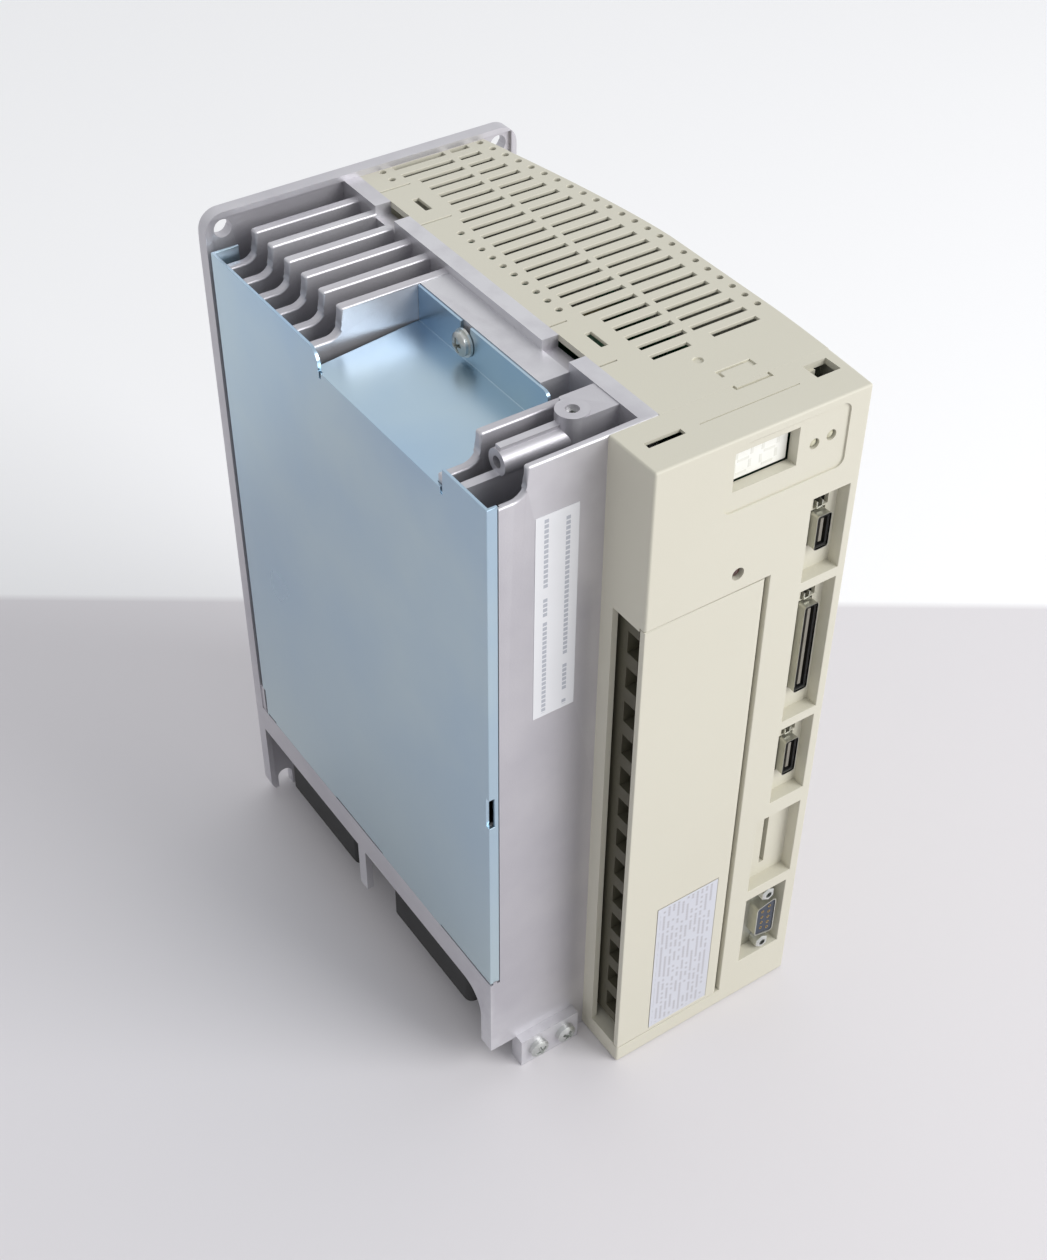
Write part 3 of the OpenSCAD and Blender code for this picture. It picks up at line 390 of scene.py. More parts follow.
def printed_label(name, node, paper, ink, row_pitch, row_share, dash_pitch, fill, rough):
    """Coated paper with upright lines of dashes that keep clear of the label's edges."""
    low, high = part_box(node)
    margin = 1.2 * MM
    material = bpy.data.materials.new(name)
    material.use_nodes = True
    tree = material.node_tree
    shader = tree.nodes["Principled BSDF"]
    shader.inputs["Coat Weight"].default_value = 0.15
    split = tree.nodes.new("ShaderNodeSeparateXYZ")
    tree.links.new(part_position(tree), split.inputs[0])
    rows = tree.nodes.new("ShaderNodeGroup")
    rows.node_tree = print_rows
    tree.links.new(split.outputs[2], rows.inputs["Along"])
    tree.links.new(split.outputs[0], rows.inputs["Across"])
    rows.inputs["Row Pitch"].default_value = row_pitch
    rows.inputs["Row Share"].default_value = row_share
    rows.inputs["Dash Pitch"].default_value = dash_pitch
    rows.inputs["Fill"].default_value = fill
    rows.inputs["Start"].default_value = low.x + row_pitch * (1 - row_share) / 2
    inside = rows.outputs["Mask"]
    for axis in (0, 2):
        centre, reach = (low[axis] + high[axis]) / 2, (high[axis] - low[axis]) / 2 - margin
        inside = math_node(tree, "MULTIPLY", inside,
                           math_node(tree, "COMPARE", split.outputs[axis], centre, reach))
    drifting = tree.nodes.new("ShaderNodeGroup")
    drifting.node_tree = tone_drift
    drifting.inputs["Main"].default_value = paper
    drifting.inputs["Other"].default_value = tuple(0.93 * c for c in paper[:3]) + (1.0,)
    drifting.inputs["Patches Per Metre"].default_value = 60.0
    tree.links.new(mixed_colour(tree, inside, drifting.outputs["Color"], ink), shader.inputs["Base Color"])
    roughness = math_node(tree, "MULTIPLY_ADD", drifting.outputs["Mask"], 0.1, rough)
    tree.links.new(roughness, shader.inputs["Roughness"])
    return material


finishes["lamp_green"] = lens("status_lens", shade(196, 192, 168), shade(176, 178, 150))
finishes["lamp_red"] = lens("charge_lens", shade(70, 30, 24), shade(40, 20, 16))
finishes["label_paper"] = printed_label("paper_label", "front_label",
                                        shade(226, 227, 230), shade(176, 179, 188), row_pitch=0.007,
                                        row_share=0.20, dash_pitch=0.0017, fill=0.9, rough=0.40)
finishes["label_foil"] = printed_label("foil_label", "cover_label",
                                       shade(200, 202, 210), shade(170, 168, 174), row_pitch=0.0019,
                                       row_share=0.46, dash_pitch=0.0012, fill=0.72, rough=0.35)
print("with lenses and labels:", len(finishes))

# %% [markdown]
# ## Mesh tools
# The small pieces are built with bmesh: outlines pushed into prisms, profiles turned into round
# shapes, and boxes with soft corners. Making each shape once and joining copies of it keeps
# rows of screws and contacts cheap.

# %% Boxes, prisms and turned shapes
def joined(target, source, place=None):
    """Adds a copy of one bmesh to another, moved by a matrix."""
    scrap = bpy.data.meshes.new("scrap")
    source.to_mesh(scrap)
    if place:
        scrap.transform(place)
    target.from_mesh(scrap)
    bpy.data.meshes.remove(scrap)


def soft_box(low, high, radius=0.0, segments=2):
    """A box between two corners, with rounded edges."""
    shape = bmesh.new()
    low, high = Vector(low), Vector(high)
    place = Matrix.Translation((low + high) / 2) @ Matrix.Diagonal((*(high - low), 1.0))
    bmesh.ops.create_cube(shape, size=1.0, matrix=place)
    if radius:
        bmesh.ops.bevel(shape, geom=shape.edges[:], offset=radius, segments=segments, profile=0.5,
                        affect="EDGES", clamp_overlap=True)
    return shape


def prism(outline, depth):
    """Pushes a flat outline, given as (x, z) points, from y = 0 to y = depth."""
    shape = bmesh.new()
    front = [shape.verts.new((x, 0.0, z)) for x, z in outline]
    rear = [shape.verts.new((x, depth, z)) for x, z in outline]
    count = len(outline)
    shape.faces.new(front)
    shape.faces.new(list(reversed(rear)))
    for i in range(count):
        shape.faces.new((front[i], rear[i], rear[(i + 1) % count], front[(i + 1) % count]))
    bmesh.ops.recalc_face_normals(shape, faces=shape.faces)
    return shape


def ring_prism(outer, inner, depth):
    """A prism with a hole; both outlines have the same number of points."""
    shape = bmesh.new()
    loops = [[shape.verts.new((x, y, z)) for x, z in outline]
             for outline, y in ((outer, 0.0), (inner, 0.0), (inner, depth), (outer, depth))]
    count = len(outer)
    for k in range(4):
        for i in range(count):
            j = (i + 1) % count
            shape.faces.new((loops[k][i], loops[k][j], loops[(k + 1) % 4][j], loops[(k + 1) % 4][i]))
    bmesh.ops.recalc_face_normals(shape, faces=shape.faces)
    return shape


def turned(profile, steps=32):
    """Turns a profile of (radius, height) points about Z; a radius of 0 closes an end."""
    shape = bmesh.new()
    rows = []
    for radius, height in profile:
        if radius == 0:
            rows.append([shape.verts.new((0, 0, height))] * steps)
        else:
            rows.append([shape.verts.new((radius * math.cos(2 * math.pi * i / steps),
                                          radius * math.sin(2 * math.pi * i / steps), height))
                         for i in range(steps)])
    for lower, upper in zip(rows, rows[1:]):
        for i in range(steps):
            j = (i + 1) % steps
            corners = [lower[i], lower[j], upper[j], upper[i]]
            corners = [c for n, c in enumerate(corners) if c not in corners[:n]]
            if len(corners) > 2:
                shape.faces.new(corners)
    bmesh.ops.recalc_face_normals(shape, faces=shape.faces)
    return shape


def round_outline(low_x, high_x, low_z, high_z, radii, steps=5):
    """A rectangle whose corners have their own radii: low-low, high-low, high-high, low-high."""
    points = []
    corners = ((low_x, low_z, 180), (high_x, low_z, 270), (high_x, high_z, 0), (low_x, high_z, 90))
    for (x, z, start), radius in zip(corners, radii):
        centre_x = x + radius if x == low_x else x - radius
        centre_z = z + radius if z == low_z else z - radius
        for k in range(steps + 1):
            turn = math.radians(start + 90 * k / steps)
            points.append((centre_x + radius * math.cos(turn), centre_z + radius * math.sin(turn)))
    return points


# %% Turning a shape into a finished piece
def shade_by_angle(shape, degrees=32):
    """Smooth faces with sharp edges only where faces meet steeply."""
    limit = math.radians(degrees)
    for face in shape.faces:
        face.smooth = True
    for edge in shape.edges:
        edge.smooth = len(edge.link_faces) == 2 and edge.calc_face_angle(0.0) < limit


def even_normals(piece):
    weights = piece.modifiers.new("even_normals", "WEIGHTED_NORMAL")
    weights.keep_sharp = True


def finished(name, shape, slot, body="drive", stands_for=(), finish=None):
    """Makes a piece from a bmesh, gives it its finish and its body."""
    shade_by_angle(shape)
    mesh = bpy.data.meshes.new(name)
    shape.to_mesh(mesh)
    shape.free()
    mesh.materials.append(finishes[finish or slot])
    piece = bpy.data.objects.new(name, mesh)
    scene.collection.objects.link(piece)
    even_normals(piece)
    if stands_for:
        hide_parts(*stands_for)
    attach(piece, body)
    return piece


# %% [markdown]
# ## Castings, sheet and mouldings
# These shapes are right already, but their edges are knife-sharp. A bevel modifier would treat
# all edges alike, and one tiny edge would hold the others back. So each solid is copied, its flat
# faces are merged, and its long edges are rounded first and its short ones a little afterwards.

# %% Rounding the edges of a copied solid
def merged_copy(node):
    """The node's mesh with its flat triangles merged into whole faces."""
    shape = bmesh.new()
    shape.from_mesh(frame["nodes"][node].data)
    bmesh.ops.remove_doubles(shape, verts=shape.verts, dist=0.002 * MM)
    bmesh.ops.dissolve_limit(shape, angle_limit=math.radians(0.6), verts=shape.verts, edges=shape.edges)
    return shape


def round_edges(shape, radius, wanted, segments=3, steep=50):
    """Rounds the steep edges for which wanted(middle, along, length) is true; all in mm."""
    chosen = []
    for edge in shape.edges:
        if len(edge.link_faces) != 2 or edge.calc_face_angle(0.0) < math.radians(steep):
            continue
        first, second = (corner.co / MM for corner in edge.verts)
        length = (second - first).length
        if wanted((first + second) / 2, (second - first) / max(length, 0.001), length):
            chosen.append(edge)
    bmesh.ops.bevel(shape, geom=chosen, offset=radius * MM, segments=segments, profile=0.5,
                    affect="EDGES", clamp_overlap=False)
    return len(chosen)


def softened(node, slot, passes, body="drive"):
    """A copy of a node with soft edges, standing for that node."""
    shape = merged_copy(node)
    counts = [round_edges(shape, radius, wanted) for radius, wanted in passes]
    print(node, "edges rounded:", counts, "faces:", len(shape.faces))
    return finished(node + "_body", shape, slot, body, (node,))


# %% [markdown]
# Which edges are wide and which are small follows from how each piece is made. A casting is round
# wherever its mould has a corner, so all the fin tops get a wide radius. The sheet is only broken
# at its cut edges. The mouldings are round along their outline and nearly sharp at their openings.

# %% Tests that pick edges by their place
cad_high = cad_box[1] / MM
case_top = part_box("main_case")[1].z / MM
cover_low, cover_high = (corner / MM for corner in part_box("front_cover"))
boss_centre = sum(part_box("boss_screw"), Vector()) / 2 / MM
near = 0.06


def on_fin_tops(middle, along, length):
    far_from_boss = math.hypot(middle.x - boss_centre.x, middle.y - boss_centre.y) > 6.5
    in_channel = middle.x < -8.3 and middle.y < 84
    beside_tube = abs(middle.y - boss_centre.y) < 4.5
    on_block = middle.x > -18 and middle.y < 26
    small_step = length < 1.2 and abs(along.z) > 0.9
    return middle.z > 226 and far_from_boss and in_channel and not (beside_tube or on_block or small_step)


def on_plate_outline(middle, along, length):
    return middle.z > cad_high.z - 7 and middle.y > cad_high.y - near


def on_long_edges(middle, along, length):
    return length > 12


def on_sheet_edges(middle, along, length):
    return length > 1.5


def on_cover_outline(middle, along, length):
    on_top = abs(middle.z - cover_high.z) < near or abs(middle.z - cover_low.z) < near
    on_front = abs(middle.y - cover_low.y) < near
    on_left = abs(middle.x - cover_low.x) < near
    on_right = middle.x > 52
    on_side = on_left or on_right
    return length > 3 and ((on_top and (on_front or on_side)) or (on_front and on_side))


def on_cover_openings(middle, along, length):
    return abs(middle.y - cover_low.y) < near and length > 1.2 and middle.x < 52


def on_case_outline(middle, along, length):
    on_right = middle.x > 40 and middle.y < 80
    return abs(middle.z - case_top) < near and abs(along.y) > 0.9 and length > 4 and on_right


def on_vents(middle, along, length):
    return abs(middle.z - case_top) < near and middle.x < 52 and middle.x > 2 and middle.y < 84


# %% The large pieces
softened("heatsink_casting", "cast_aluminium", [(0.85, on_fin_tops), (0.5, on_plate_outline)])
softened("duct_cover", "zinc_sheet", [(0.2, on_sheet_edges)])
softened("main_case", "beige_plastic", [(0.45, on_case_outline), (0.2, on_vents)])
softened("terminal_block", "terminal_plastic", [(0.25, on_long_edges)])
softened("front_cover", "beige_plastic", [(0.8, on_cover_outline), (0.25, on_cover_openings)])
softened("terminal_cover", "beige_plastic", [(0.3, on_long_edges)], "hinged_cover")

# %% Remaining parts keep their solids and get a finish
slots = {part["node"]: part["material_slot"] for part in frame["record"]["subparts"]}
for node, solid in frame["nodes"].items():
    solid.data.materials.clear()
    solid.data.materials.append(finishes[slots[node]])

# %% [markdown]
# ## Screws
# All the screws are zinc-plated pan heads with a cross recess. The head is a round grid of points:
# each ring sits on the dome, and points inside the cross are pushed down. That is lighter than
# cutting a cross with a boolean, and its edges stay soft.

# %% Pan-head screws
def pan_head(radius, height, recess=0.5):
    """A head on the plane z = 0 that points up; its cross recess is a share of its height deep."""
    steps, rings = 56, 16
    shape = bmesh.new()
    reach, arm = radius * 0.58, radius * 0.13

    def level(distance, turn):
        dome = height * (1 - 0.35 * (distance / radius) ** 3)
        across, along = sorted((abs(distance * math.cos(turn)), abs(distance * math.sin(turn))))
        inside = across < arm and along < reach
        return dome - (height * recess * (1 - 0.4 * along / reach) if inside else 0.0)

    rows = [[shape.verts.new((0, 0, level(0, 0)))]]
    for k in range(1, rings + 1):
        distance = radius * k / rings
        rows.append([])
        for i in range(steps):
            turn = 2 * math.pi * i / steps
            rows[-1].append(shape.verts.new((distance * math.cos(turn), distance * math.sin(turn),
                                             level(distance, turn))))
    rows.append([shape.verts.new((corner.co.x, corner.co.y, 0.0)) for corner in rows[-1]])
    for i in range(steps):
        shape.faces.new((rows[0][0], rows[1][i], rows[1][(i + 1) % steps]))
    for lower, upper in zip(rows[1:], rows[2:]):
        for i in range(steps):
            j = (i + 1) % steps
            shape.faces.new((lower[i], upper[i], upper[j], lower[j]))
    shape.faces.new(list(reversed(rows[-1])))
    bmesh.ops.recalc_face_normals(shape, faces=shape.faces)
    return shape


def screws(node, points, facing, radius, height, shank, length, washer=0.0):
    """One piece with a screw at each point; facing turns +Z into the way that the heads point."""
    head = pan_head(radius, height)
    stem = turned([(0, 0), (shank, 0), (shank, 0.3 * MM - length), (shank * 0.7, -length), (0, -length)], 20)
    joined(head, stem)
    if washer:
        ring = turned([(shank, 0.02 * MM), (washer, 0.02 * MM), (washer, 0.7 * MM), (shank, 0.7 * MM)], 40)
        joined(head, ring)
        ring.free()
    stem.free()
    row = bmesh.new()
    for number, point in enumerate(points):
        spin = Matrix.Rotation(math.radians(37 * number + 20), 4, "Z")
        joined(row, head, Matrix.Translation(point) @ facing @ spin)
    head.free()
    return finished(node + "_row", row, "plated_screw", "drive", (node,))


to_front = Matrix.Rotation(math.radians(90), 4, "X")
to_left = Matrix.Rotation(math.radians(-90), 4, "Y")
downwards = Matrix.Rotation(math.radians(180), 4, "X")

ground_low, ground_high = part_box("ground_screws")
ground_head = 3.5 * MM
ground_points = [Vector((x, ground_low.y + 2.6 * MM, (ground_low.z + ground_high.z) / 2))
                 for x in (ground_low.x + ground_head, ground_high.x - ground_head)]
screws("ground_screws", ground_points, to_front, ground_head, 2.5 * MM, 2 * MM, 5.4 * MM)

sheet_screw_low, sheet_screw_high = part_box("duct_cover_screw")
sheet_screw_radius = (sheet_screw_high.z - sheet_screw_low.z) / 2
sheet_screw_point = Vector((sheet_screw_low.x + 3.2 * MM, (sheet_screw_low.y + sheet_screw_high.y) / 2,
                            (sheet_screw_low.z + sheet_screw_high.z) / 2))
screws("duct_cover_screw", [sheet_screw_point], to_left, sheet_screw_radius * 0.84, 3.1 * MM, 2 * MM,
       sheet_screw_high.x - sheet_screw_point.x, sheet_screw_radius)

terminal_low, terminal_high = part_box("terminal_screws")
terminal_radius = (terminal_high.x - terminal_low.x) / 2
terminal_count = 13
terminal_span = terminal_high.z - terminal_low.z - 2 * terminal_radius
terminal_points = [Vector(((terminal_low.x + terminal_high.x) / 2, terminal_low.y + 2.2 * MM,
                           terminal_low.z + terminal_radius + terminal_span * i / (terminal_count - 1)))
                   for i in range(terminal_count)]
screws("terminal_screws", terminal_points, to_front, terminal_radius, 2.1 * MM, 1.75 * MM, 6 * MM)

fan_screw_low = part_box("fan_screws")[0]
fan_screw_radius = 2.8 * MM
fan_screw_points = []
for fan in ("rear_fan_frame", "front_fan_frame"):
    fan_low, fan_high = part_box(fan)
    inset = fan_screw_low.x + fan_screw_radius - fan_low.x
    for x in (fan_low.x + inset, fan_high.x - inset):
        for y in (fan_low.y + inset, fan_high.y - inset):
            fan_screw_points.append(Vector((x, y, fan_low.z)))
screws("fan_screws", fan_screw_points, downwards, fan_screw_radius, 1.9 * MM, 1.5 * MM, 23 * MM)
print("screws on the outside:", 3 + len(terminal_points) + len(fan_screw_points))

# %% [markdown]
# ## Data connectors
# Each data connector is a pressed metal shell around a black insulator. Inside is a slot with a
# thin tongue, and the contacts lie along both sides of the tongue. Above the shell is the window
# that the plug's latch hooks into. The three differ only in length, so one function makes each.

# %% Latching connectors
shells_low, shells_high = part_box("port_shells")


def latching_port(node, low_z, high_z):
    """The insulator of one connector, its contacts and its latch, between two heights."""
    low_x, high_x = shells_low.x, shells_high.x
    front_y, depth = shells_low.y, 7.6 * MM
    skin = 0.45 * MM
    body_low, body_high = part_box(node)
    insulator = ring_prism(
        round_outline(low_x + skin, high_x - skin, low_z + skin, high_z - skin, [0.5 * MM] * 4),
        round_outline(low_x + 1.1 * MM, high_x - 1.1 * MM, low_z + 1.2 * MM, high_z - 1.2 * MM,
                      [0.3 * MM] * 4),
        depth)
    bmesh.ops.translate(insulator, verts=insulator.verts, vec=(0, front_y + 0.5 * MM, 0))
    rear = soft_box((body_low.x, front_y + depth, body_low.z),
                    (body_high.x, body_high.y, body_high.z), 0.4 * MM)
    middle = (low_x + high_x) / 2
    joined(insulator, rear)
    rear.free()
    tongue = soft_box((middle - 0.6 * MM, front_y + 0.9 * MM, low_z + 2 * MM),
                      (middle + 0.6 * MM, front_y + depth, high_z - 2 * MM), 0.15 * MM)
    finished(node + "_tongue", tongue, "black_plastic", finish="port_tongue")
    finished(node + "_insulator", insulator, "black_plastic", "drive", (node,))
    contacts = bmesh.new()
    count = int((high_z - low_z - 4.6 * MM) / (1.27 * MM)) + 1
    first = (low_z + high_z) / 2 - (count - 1) * 1.27 * MM / 2
    for i in range(count):
        for flank in (-1, 1):
            x = middle + flank * 0.65 * MM
            z = first + i * 1.27 * MM
            blade = soft_box((x - 0.12 * MM, front_y + 1.7 * MM, z - 0.3 * MM),
                             (x + 0.12 * MM, front_y + 6 * MM, z + 0.3 * MM), 0.05 * MM, 1)
            joined(contacts, blade)
            blade.free()
    finished(node + "_contacts", contacts, "brass_part", finish="contact_gold")
    latch = bmesh.new()
    for x in (middle - 1.25 * MM, middle + 0.75 * MM):
        prong = soft_box((x, front_y + 2.6 * MM, high_z + 0.7 * MM),
                         (x + 0.5 * MM, front_y + 6 * MM, high_z + 3.0 * MM), 0.15 * MM)
        joined(latch, prong)
        prong.free()
    bridge = soft_box((middle - 1.25 * MM, front_y + 2.5 * MM, high_z + 0.6 * MM),
                      (middle + 1.25 * MM, front_y + 3.1 * MM, high_z + 1.3 * MM), 0.2 * MM)
    joined(latch, bridge)
    bridge.free()
    finished(node + "_latch", latch, "plated_shell")
    well = soft_box((low_x + 0.5 * MM, front_y + 5.1 * MM, high_z + 0.4 * MM),
                    (high_x + 1 * MM, front_y + 7.4 * MM, high_z + 4.8 * MM), 0.2 * MM)
    release = soft_box((high_x - 0.9 * MM, front_y + 3.2 * MM, low_z - 3.4 * MM),
                       (high_x + 1.4 * MM, front_y + 4.3 * MM, low_z - 1.6 * MM), 0.1 * MM)
    joined(well, release)
    release.free()
    finished(node + "_latch_well", well, "black_plastic")
    return count


def pressed_shell(low_z, high_z):
    """The metal shell of one connector, with its edge turned slightly outwards."""
    low_x, high_x = shells_low.x, shells_high.x
    skin, bend = 0.12 * MM, 0.45 * MM

    def outline(inset, corner):
        return round_outline(low_x + inset, high_x - inset, low_z + inset, high_z - inset, [corner] * 4)

    shell = ring_prism(outline(skin, 0.8 * MM), outline(bend, 0.5 * MM), shells_high.y - shells_low.y)
    lip = ring_prism(outline(0, 0.9 * MM), outline(bend, 0.5 * MM), 0.35 * MM)
    joined(shell, lip)
    lip.free()
    bmesh.ops.translate(shell, verts=shell.verts, vec=(0, shells_low.y, 0))
    return shell


shells = bmesh.new()
overhang = 3 * MM
for node in ("command_port", "io_port", "feedback_port"):
    port_low, port_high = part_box(node)
    count = latching_port(node, port_low.z + overhang, port_high.z - overhang)
    shell = pressed_shell(port_low.z + overhang, port_high.z - overhang)
    joined(shells, shell)
    shell.free()
    print(node, "contacts:", 2 * count)
finished("port_shells_pressed", shells, "plated_shell", stands_for=("port_shells",))

# %% [markdown]
# ## The nine-pole connector
# Its shell has the well-known D outline, so that a plug only fits one way round. The outline is
# the box of the shell with one long side drawn in, and the black insert fills it almost to the
# front. Two hexagonal jack screws hold the plug.

# %% D-shaped shell, insert, contacts and jack screws
dsub_low, dsub_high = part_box("dsub_connector")
jack_low, jack_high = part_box("dsub_jack_screws")
dsub_x = (jack_low.x + jack_high.x) / 2
dsub_z = (jack_low.z + jack_high.z) / 2
jack_reach = (jack_high.z - jack_low.z) / 2 - 2.4 * MM


def d_outline(grow, steps=6):
    """The D outline around the connector's centre, made larger all round by a margin."""
    half_x, long_z, short_z, corner = 4.1 * MM + grow, 8.4 * MM + grow, 7.2 * MM + grow, 1.6 * MM + grow
    points = []
    corners = ((-half_x, -short_z, 190), (half_x, -long_z, 270), (half_x, long_z, 0), (-half_x, short_z, 90))
    for x, z, start in corners:
        centre_x = x - math.copysign(corner, x)
        centre_z = z - math.copysign(corner, z)
        sweep = 80 if x < 0 else 90
        for k in range(steps + 1):
            turn = math.radians(start + sweep * k / steps)
            points.append((dsub_x + centre_x + corner * math.cos(turn),
                           dsub_z + centre_z + corner * math.sin(turn)))
    return points


metal = ring_prism(d_outline(0), d_outline(-0.4 * MM), 5.2 * MM)
bmesh.ops.translate(metal, verts=metal.verts, vec=(0, dsub_low.y, 0))
flange_front, flange_back = dsub_low.y + 4.2 * MM, dsub_low.y + 5.2 * MM
flange = soft_box((dsub_low.x, flange_front, dsub_low.z), (dsub_high.x, flange_back, dsub_high.z), 0.4 * MM)
joined(metal, flange)
flange.free()
finished("dsub_shell", metal, "plated_shell", stands_for=("dsub_connector",))
insert = prism(d_outline(-0.5 * MM), 4.6 * MM)
bmesh.ops.translate(insert, verts=insert.verts, vec=(0, dsub_low.y + 0.25 * MM, 0))
rear = soft_box((dsub_x - 5.5 * MM, flange_back, dsub_z - 9.5 * MM),
                (dsub_x + 5.5 * MM, dsub_high.y, dsub_z + 9.5 * MM), 0.5 * MM)
joined(insert, rear)
rear.free()
finished("dsub_insert", insert, "black_plastic", finish="slate_plastic")
sockets = bmesh.new()
inner, outer, thick = 0.40 * MM, 0.58 * MM, 0.1 * MM
ring = turned([(inner, 0.0), (outer, 0.0), (outer, thick), (inner, thick), (inner, 0.0)], 20)
for row_x, row_count in ((1.42 * MM, 5), (-1.42 * MM, 4)):
    for i in range(row_count):
        z = dsub_z + (i - (row_count - 1) / 2) * 2.77 * MM
        joined(sockets, ring, Matrix.Translation((dsub_x + row_x, dsub_low.y + 0.27 * MM, z)) @ to_front)
ring.free()
finished("dsub_contacts", sockets, "brass_part", finish="contact_gold")

jacks = bmesh.new()
for flank in (-1, 1):
    hexagon = turned([(1.3 * MM, 0.0), (2.2 * MM, 0.0), (2.7 * MM, 0.5 * MM), (2.7 * MM, 4.3 * MM),
                      (1.4 * MM, 4.4 * MM), (1.4 * MM, 9.2 * MM), (0, 9.2 * MM)], 6)
    bore = turned([(1.3 * MM, 0.0), (1.3 * MM, 3.8 * MM), (0, 4.2 * MM)], 24)
    joined(hexagon, bore)
    bore.free()
    joined(jacks, hexagon, Matrix.Translation((dsub_x, jack_low.y, dsub_z + flank * jack_reach))
           @ Matrix.Rotation(math.radians(-90), 4, "X") @ Matrix.Rotation(math.radians(30), 4, "Z"))
    hexagon.free()
finished("dsub_jacks", jacks, "plated_screw", stands_for=("dsub_jack_screws",))
print("nine-pole connector at", [round(v / MM, 1) for v in (dsub_x, dsub_low.y, dsub_z)])

# %% [markdown]
# ## Display and lamps
# The display is a white block with two digits whose segments are only just visible when they are
# off. The lamps are domed lenses, which catch a highlight that a flat disc would not.

# %% Display with two unlit digits
display_low, display_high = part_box("segment_display")
finished("display_block", soft_box(display_low, display_high, 0.35 * MM), "white_plastic",
         stands_for=("segment_display",))


def digit(centre_x, centre_z, width, height, stroke):
    """Seven slanted bars that make a digit."""
    bars = bmesh.new()
    half_w, half_h = width / 2, height / 2
    lying = [(0, -half_h), (0, 0), (0, half_h)]
    standing = [(sx * half_w, sz * half_h / 2) for sx in (-1, 1) for sz in (-1, 1)]
    for x, z in lying + standing:
        long_side, short_side = (half_w - stroke * 0.65, stroke / 2)
        if (x, z) in standing:
            long_side, short_side = (stroke / 2, half_h / 2 - stroke * 0.65)
        bar = soft_box((x - long_side, 0, z - short_side),
                       (x + long_side, 0.12 * MM, z + short_side), 0.05 * MM, 1)
        place = (centre_x + z * 0.12, display_low.y - 0.05 * MM, centre_z)
        bmesh.ops.translate(bar, verts=bar.verts, vec=place)
        joined(bars, bar)
        bar.free()
    return bars


digits = bmesh.new()
display_width = display_high.x - display_low.x
for share in (0.27, 0.70):
    shape = digit(display_low.x + share * display_width, (display_low.z + display_high.z) / 2,
                  5.2 * MM, 8.2 * MM, 1.0 * MM)
    joined(digits, shape)
    shape.free()
finished("display_digits", digits, "white_plastic", finish="segment_off")

# %% Status lamps and charge lamp
led_low, led_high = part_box("status_leds")
led_radius = 1.5 * MM
leds = bmesh.new()
for x, z in ((led_low.x + led_radius, led_low.z + led_radius),
             (led_high.x - led_radius, led_high.z - led_radius)):
    depth = led_high.y - led_low.y
    dome = turned([(0, depth), (0.5 * led_radius, depth - 0.1 * MM), (0.85 * led_radius, depth - 0.45 * MM),
                   (led_radius, depth - 1.1 * MM), (led_radius, 0), (0, 0)], 28)
    joined(leds, dome, Matrix.Translation((x, led_high.y, z)) @ to_front)
    dome.free()
finished("status_lenses", leds, "lamp_green", stands_for=("status_leds",))

charge_low, charge_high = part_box("charge_lamp")
charge_x, charge_z = (charge_low.x + charge_high.x) / 2, (charge_low.z + charge_high.z) / 2
depth = charge_high.y - charge_low.y
lamp = turned([(0, depth), (0.9 * MM, depth - 0.15 * MM), (1.6 * MM, depth - 0.6 * MM),
               (1.9 * MM, depth - 1.2 * MM), (3 * MM, depth - 1.25 * MM), (3 * MM, 0), (0, 0)], 32)
lamp_place = Matrix.Translation((charge_x, charge_high.y, charge_z)) @ to_front
bmesh.ops.transform(lamp, matrix=lamp_place, verts=lamp.verts)
finished("charge_lens", lamp, "lamp_red", stands_for=("charge_lamp",))

# %% [markdown]
# ## Fan rotors
# A rotor is a cup around the motor with seven blades. Each blade is a curved sheet: it climbs
# while it turns, and it turns less at the tip than at the root. It is laid out as a grid of
# points in radius and height, and then given a thickness.

# %% Rotors with curved blades
def rotor(node, body):
    low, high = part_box(node)
    centre = (low + high) / 2
    tip, hub = (high.x - low.x) / 2 - 0.05 * MM, 12.4 * MM
    foot, top = low.z + 1 * MM, high.z
    shape = turned([(0, foot), (1 * MM, foot), (1 * MM, foot + 1 * MM), (hub - 1.4 * MM, foot + 1 * MM),
                    (hub, foot + 1.1 * MM), (hub, top - 1.6 * MM), (hub - 0.6 * MM, top - 0.5 * MM),
                    (hub - 1.8 * MM, top), (0, top)], 64)
    across, upward, blades = 8, 10, 7
    for blade in range(blades):
        sheets = []
        for skin in (-0.5, 0.5):
            grid = []
            for i in range(across + 1):
                radius = hub - 0.3 * MM + (tip - hub + 0.3 * MM) * i / across
                row = []
                for k in range(upward + 1):
                    climb = k / upward
                    twist = (0.80 - 0.25 * i / across) * (climb + 0.25 * climb * climb)
                    turn = 2 * math.pi * blade / blades + twist
                    turn += skin * (1.1 * MM - 0.5 * MM * i / across) / radius
                    height = foot + 1.4 * MM + (top - foot - 2.6 * MM) * climb
                    row.append(shape.verts.new((radius * math.cos(turn), radius * math.sin(turn), height)))
                grid.append(row)
            sheets.append(grid)
        for number, grid in enumerate(sheets):
            for i in range(across):
                for k in range(upward):
                    corners = (grid[i][k], grid[i + 1][k], grid[i + 1][k + 1], grid[i][k + 1])
                    shape.faces.new(corners if number else tuple(reversed(corners)))
        rim = [(i, 0) for i in range(across)] + [(across, k) for k in range(upward)]
        rim += [(i, upward) for i in range(across, 0, -1)] + [(0, k) for k in range(upward, 0, -1)]
        for here, ahead in zip(rim, rim[1:] + rim[:1]):
            shape.faces.new((sheets[0][here[0]][here[1]], sheets[0][ahead[0]][ahead[1]],
                             sheets[1][ahead[0]][ahead[1]], sheets[1][here[0]][here[1]]))
    bmesh.ops.recalc_face_normals(shape, faces=shape.faces)
    bmesh.ops.translate(shape, verts=shape.verts, vec=(centre.x, centre.y, 0))
    return finished(node + "_bladed", shape, "black_plastic", body, (node,))


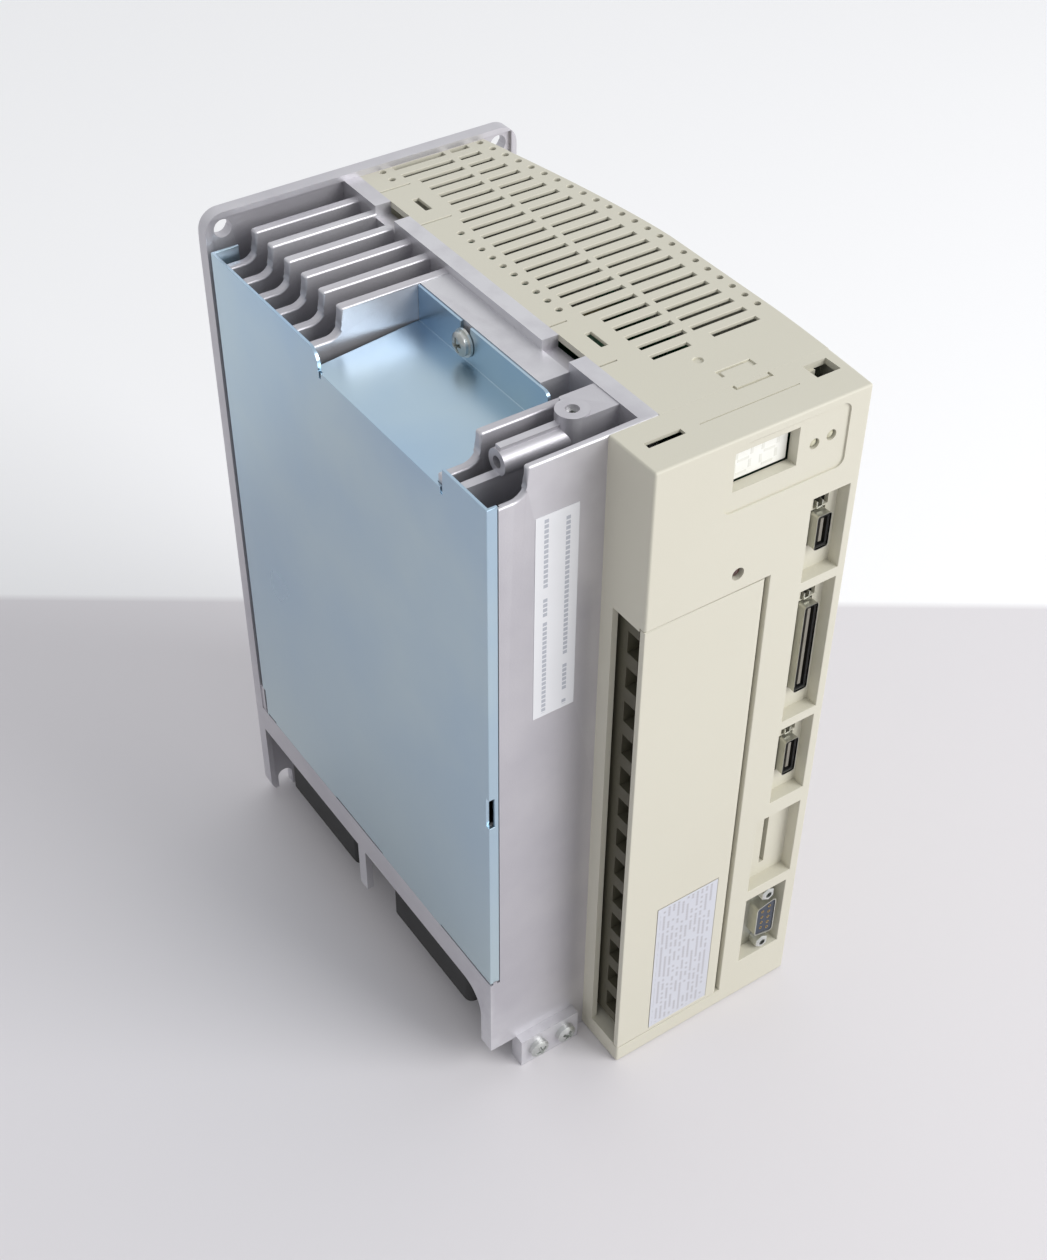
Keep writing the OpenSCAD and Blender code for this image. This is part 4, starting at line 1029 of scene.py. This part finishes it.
rotor("rear_fan_rotor", "rear_rotor")
rotor("front_fan_rotor", "front_rotor")

# %% [markdown]
# ## Capacitors
# The smoothing capacitors are aluminium cans in a shrink sleeve. The sleeve curls over the rim,
# and the bare end is left plain, without the pressed cross that lets a real can vent. The cans lie on their
# sides here.

# %% Sleeved cans
can_low, can_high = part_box("bus_capacitors")
can_radius = (can_high.y - can_low.y) / 2
can_length = can_high.x - can_low.x
can_profile = [(0, 0), (0.96, 0), (1.0, 0.02), (1.0, 0.84), (0.96, 0.87), (0.96, 0.89),
               (1.0, 0.92), (1.0, 0.98), (0.95, 1.0), (0.82, 0.995), (0.80, 0.98), (0, 0.98)]
can = turned([(r * can_radius, h * can_length) for r, h in can_profile], 56)
cans = bmesh.new()
can_count = 4
for i in range(can_count):
    z = can_low.z + can_radius + (can_high.z - can_low.z - 2 * can_radius) * i / (can_count - 1)
    joined(cans, can, Matrix.Translation((can_low.x, can_low.y + can_radius, z))
           @ Matrix.Rotation(math.radians(90), 4, "Y"))
can.free()
finished("capacitor_cans", cans, "capacitor_sleeve", stands_for=("bus_capacitors",))
print("capacitors:", can_count)

# %% [markdown]
# ## Floor and light
# The drive stands on a pale, matt table. The far part of the table is a lighter sheet that ends
# in a straight line behind the drive. Light comes from a broad window at the front right, above,
# and from a bright room, so shadows are faint. A little darkness on the left gives the metal
# something to mirror.

# %% The table
def build_floor():
    material = bpy.data.materials.new("table_top")
    material.use_nodes = True
    tree = material.node_tree
    shader = tree.nodes["Principled BSDF"]
    shader.inputs["Roughness"].default_value = 0.6
    split = tree.nodes.new("ShaderNodeSeparateXYZ")
    tree.links.new(part_position(tree), split.inputs[0])
    away = math_node(tree, "MULTIPLY_ADD", split.outputs[0], -math.sin(camera_turn),
                     math_node(tree, "MULTIPLY", split.outputs[1], math.cos(camera_turn)))
    beyond = math_node(tree, "MULTIPLY_ADD", away, 220.0, -0.1517 * 220.0)
    limited = math_node(tree, "MINIMUM", math_node(tree, "MAXIMUM", beyond, 0.0), 1.0)
    tree.links.new(mixed_colour(tree, limited, shade(221, 218, 221), shade(250, 250, 251)),
                   shader.inputs["Base Color"])
    shape = bmesh.new()
    bmesh.ops.create_grid(shape, x_segments=1, y_segments=1, size=4.0)
    mesh = bpy.data.meshes.new("floor")
    shape.to_mesh(mesh)
    shape.free()
    mesh.materials.append(material)
    floor = bpy.data.objects.new("floor", mesh)
    floor.location.z = -0.0002
    scene.collection.objects.link(floor)


build_floor()

# %% The room and the window
def build_room(top, front, rear, left):
    """A plain room: one tone overhead and one each for the front, rear and left walls."""
    room = bpy.data.worlds.new("room")
    room.use_nodes = True
    scene.world = room
    tree = room.node_tree
    split = tree.nodes.new("ShaderNodeSeparateXYZ")
    tree.links.new(tree.nodes.new("ShaderNodeTexCoord").outputs["Generated"], split.inputs[0])
    upward = math_node(tree, "POWER", math_node(tree, "MAXIMUM", split.outputs[2], 0.0), 2.0)
    leftward = math_node(tree, "MAXIMUM", math_node(tree, "MULTIPLY", split.outputs[0], -1.0), 0.0)
    rearward = math_node(tree, "MAXIMUM", split.outputs[1], 0.0)
    walls = mixed_colour(tree, leftward, mixed_colour(tree, rearward, front, rear), left)
    tree.links.new(mixed_colour(tree, upward, walls, top), tree.nodes["Background"].inputs["Color"])
    tree.nodes["Background"].inputs["Strength"].default_value = 1.0


def window_light(name, place, target, width, power):
    lamp_data = bpy.data.lights.new(name, "AREA")
    lamp_data.shape = "SQUARE"
    lamp_data.size = width
    lamp_data.energy = power
    lamp = bpy.data.objects.new(name, lamp_data)
    lamp.location = place
    lamp.rotation_euler = (Vector(target) - Vector(place)).to_track_quat("-Z", "Y").to_euler()
    scene.collection.objects.link(lamp)


build_room((0.66, 0.67, 0.68, 1), (0.72, 0.72, 0.73, 1), (1.05, 1.06, 1.08, 1), (0.50, 0.51, 0.53, 1))
window_light("window", (0.9, -1.4, 1.1), (0, 0, 0.1), 1.2, 26)
scene.view_settings.view_transform = "Standard"
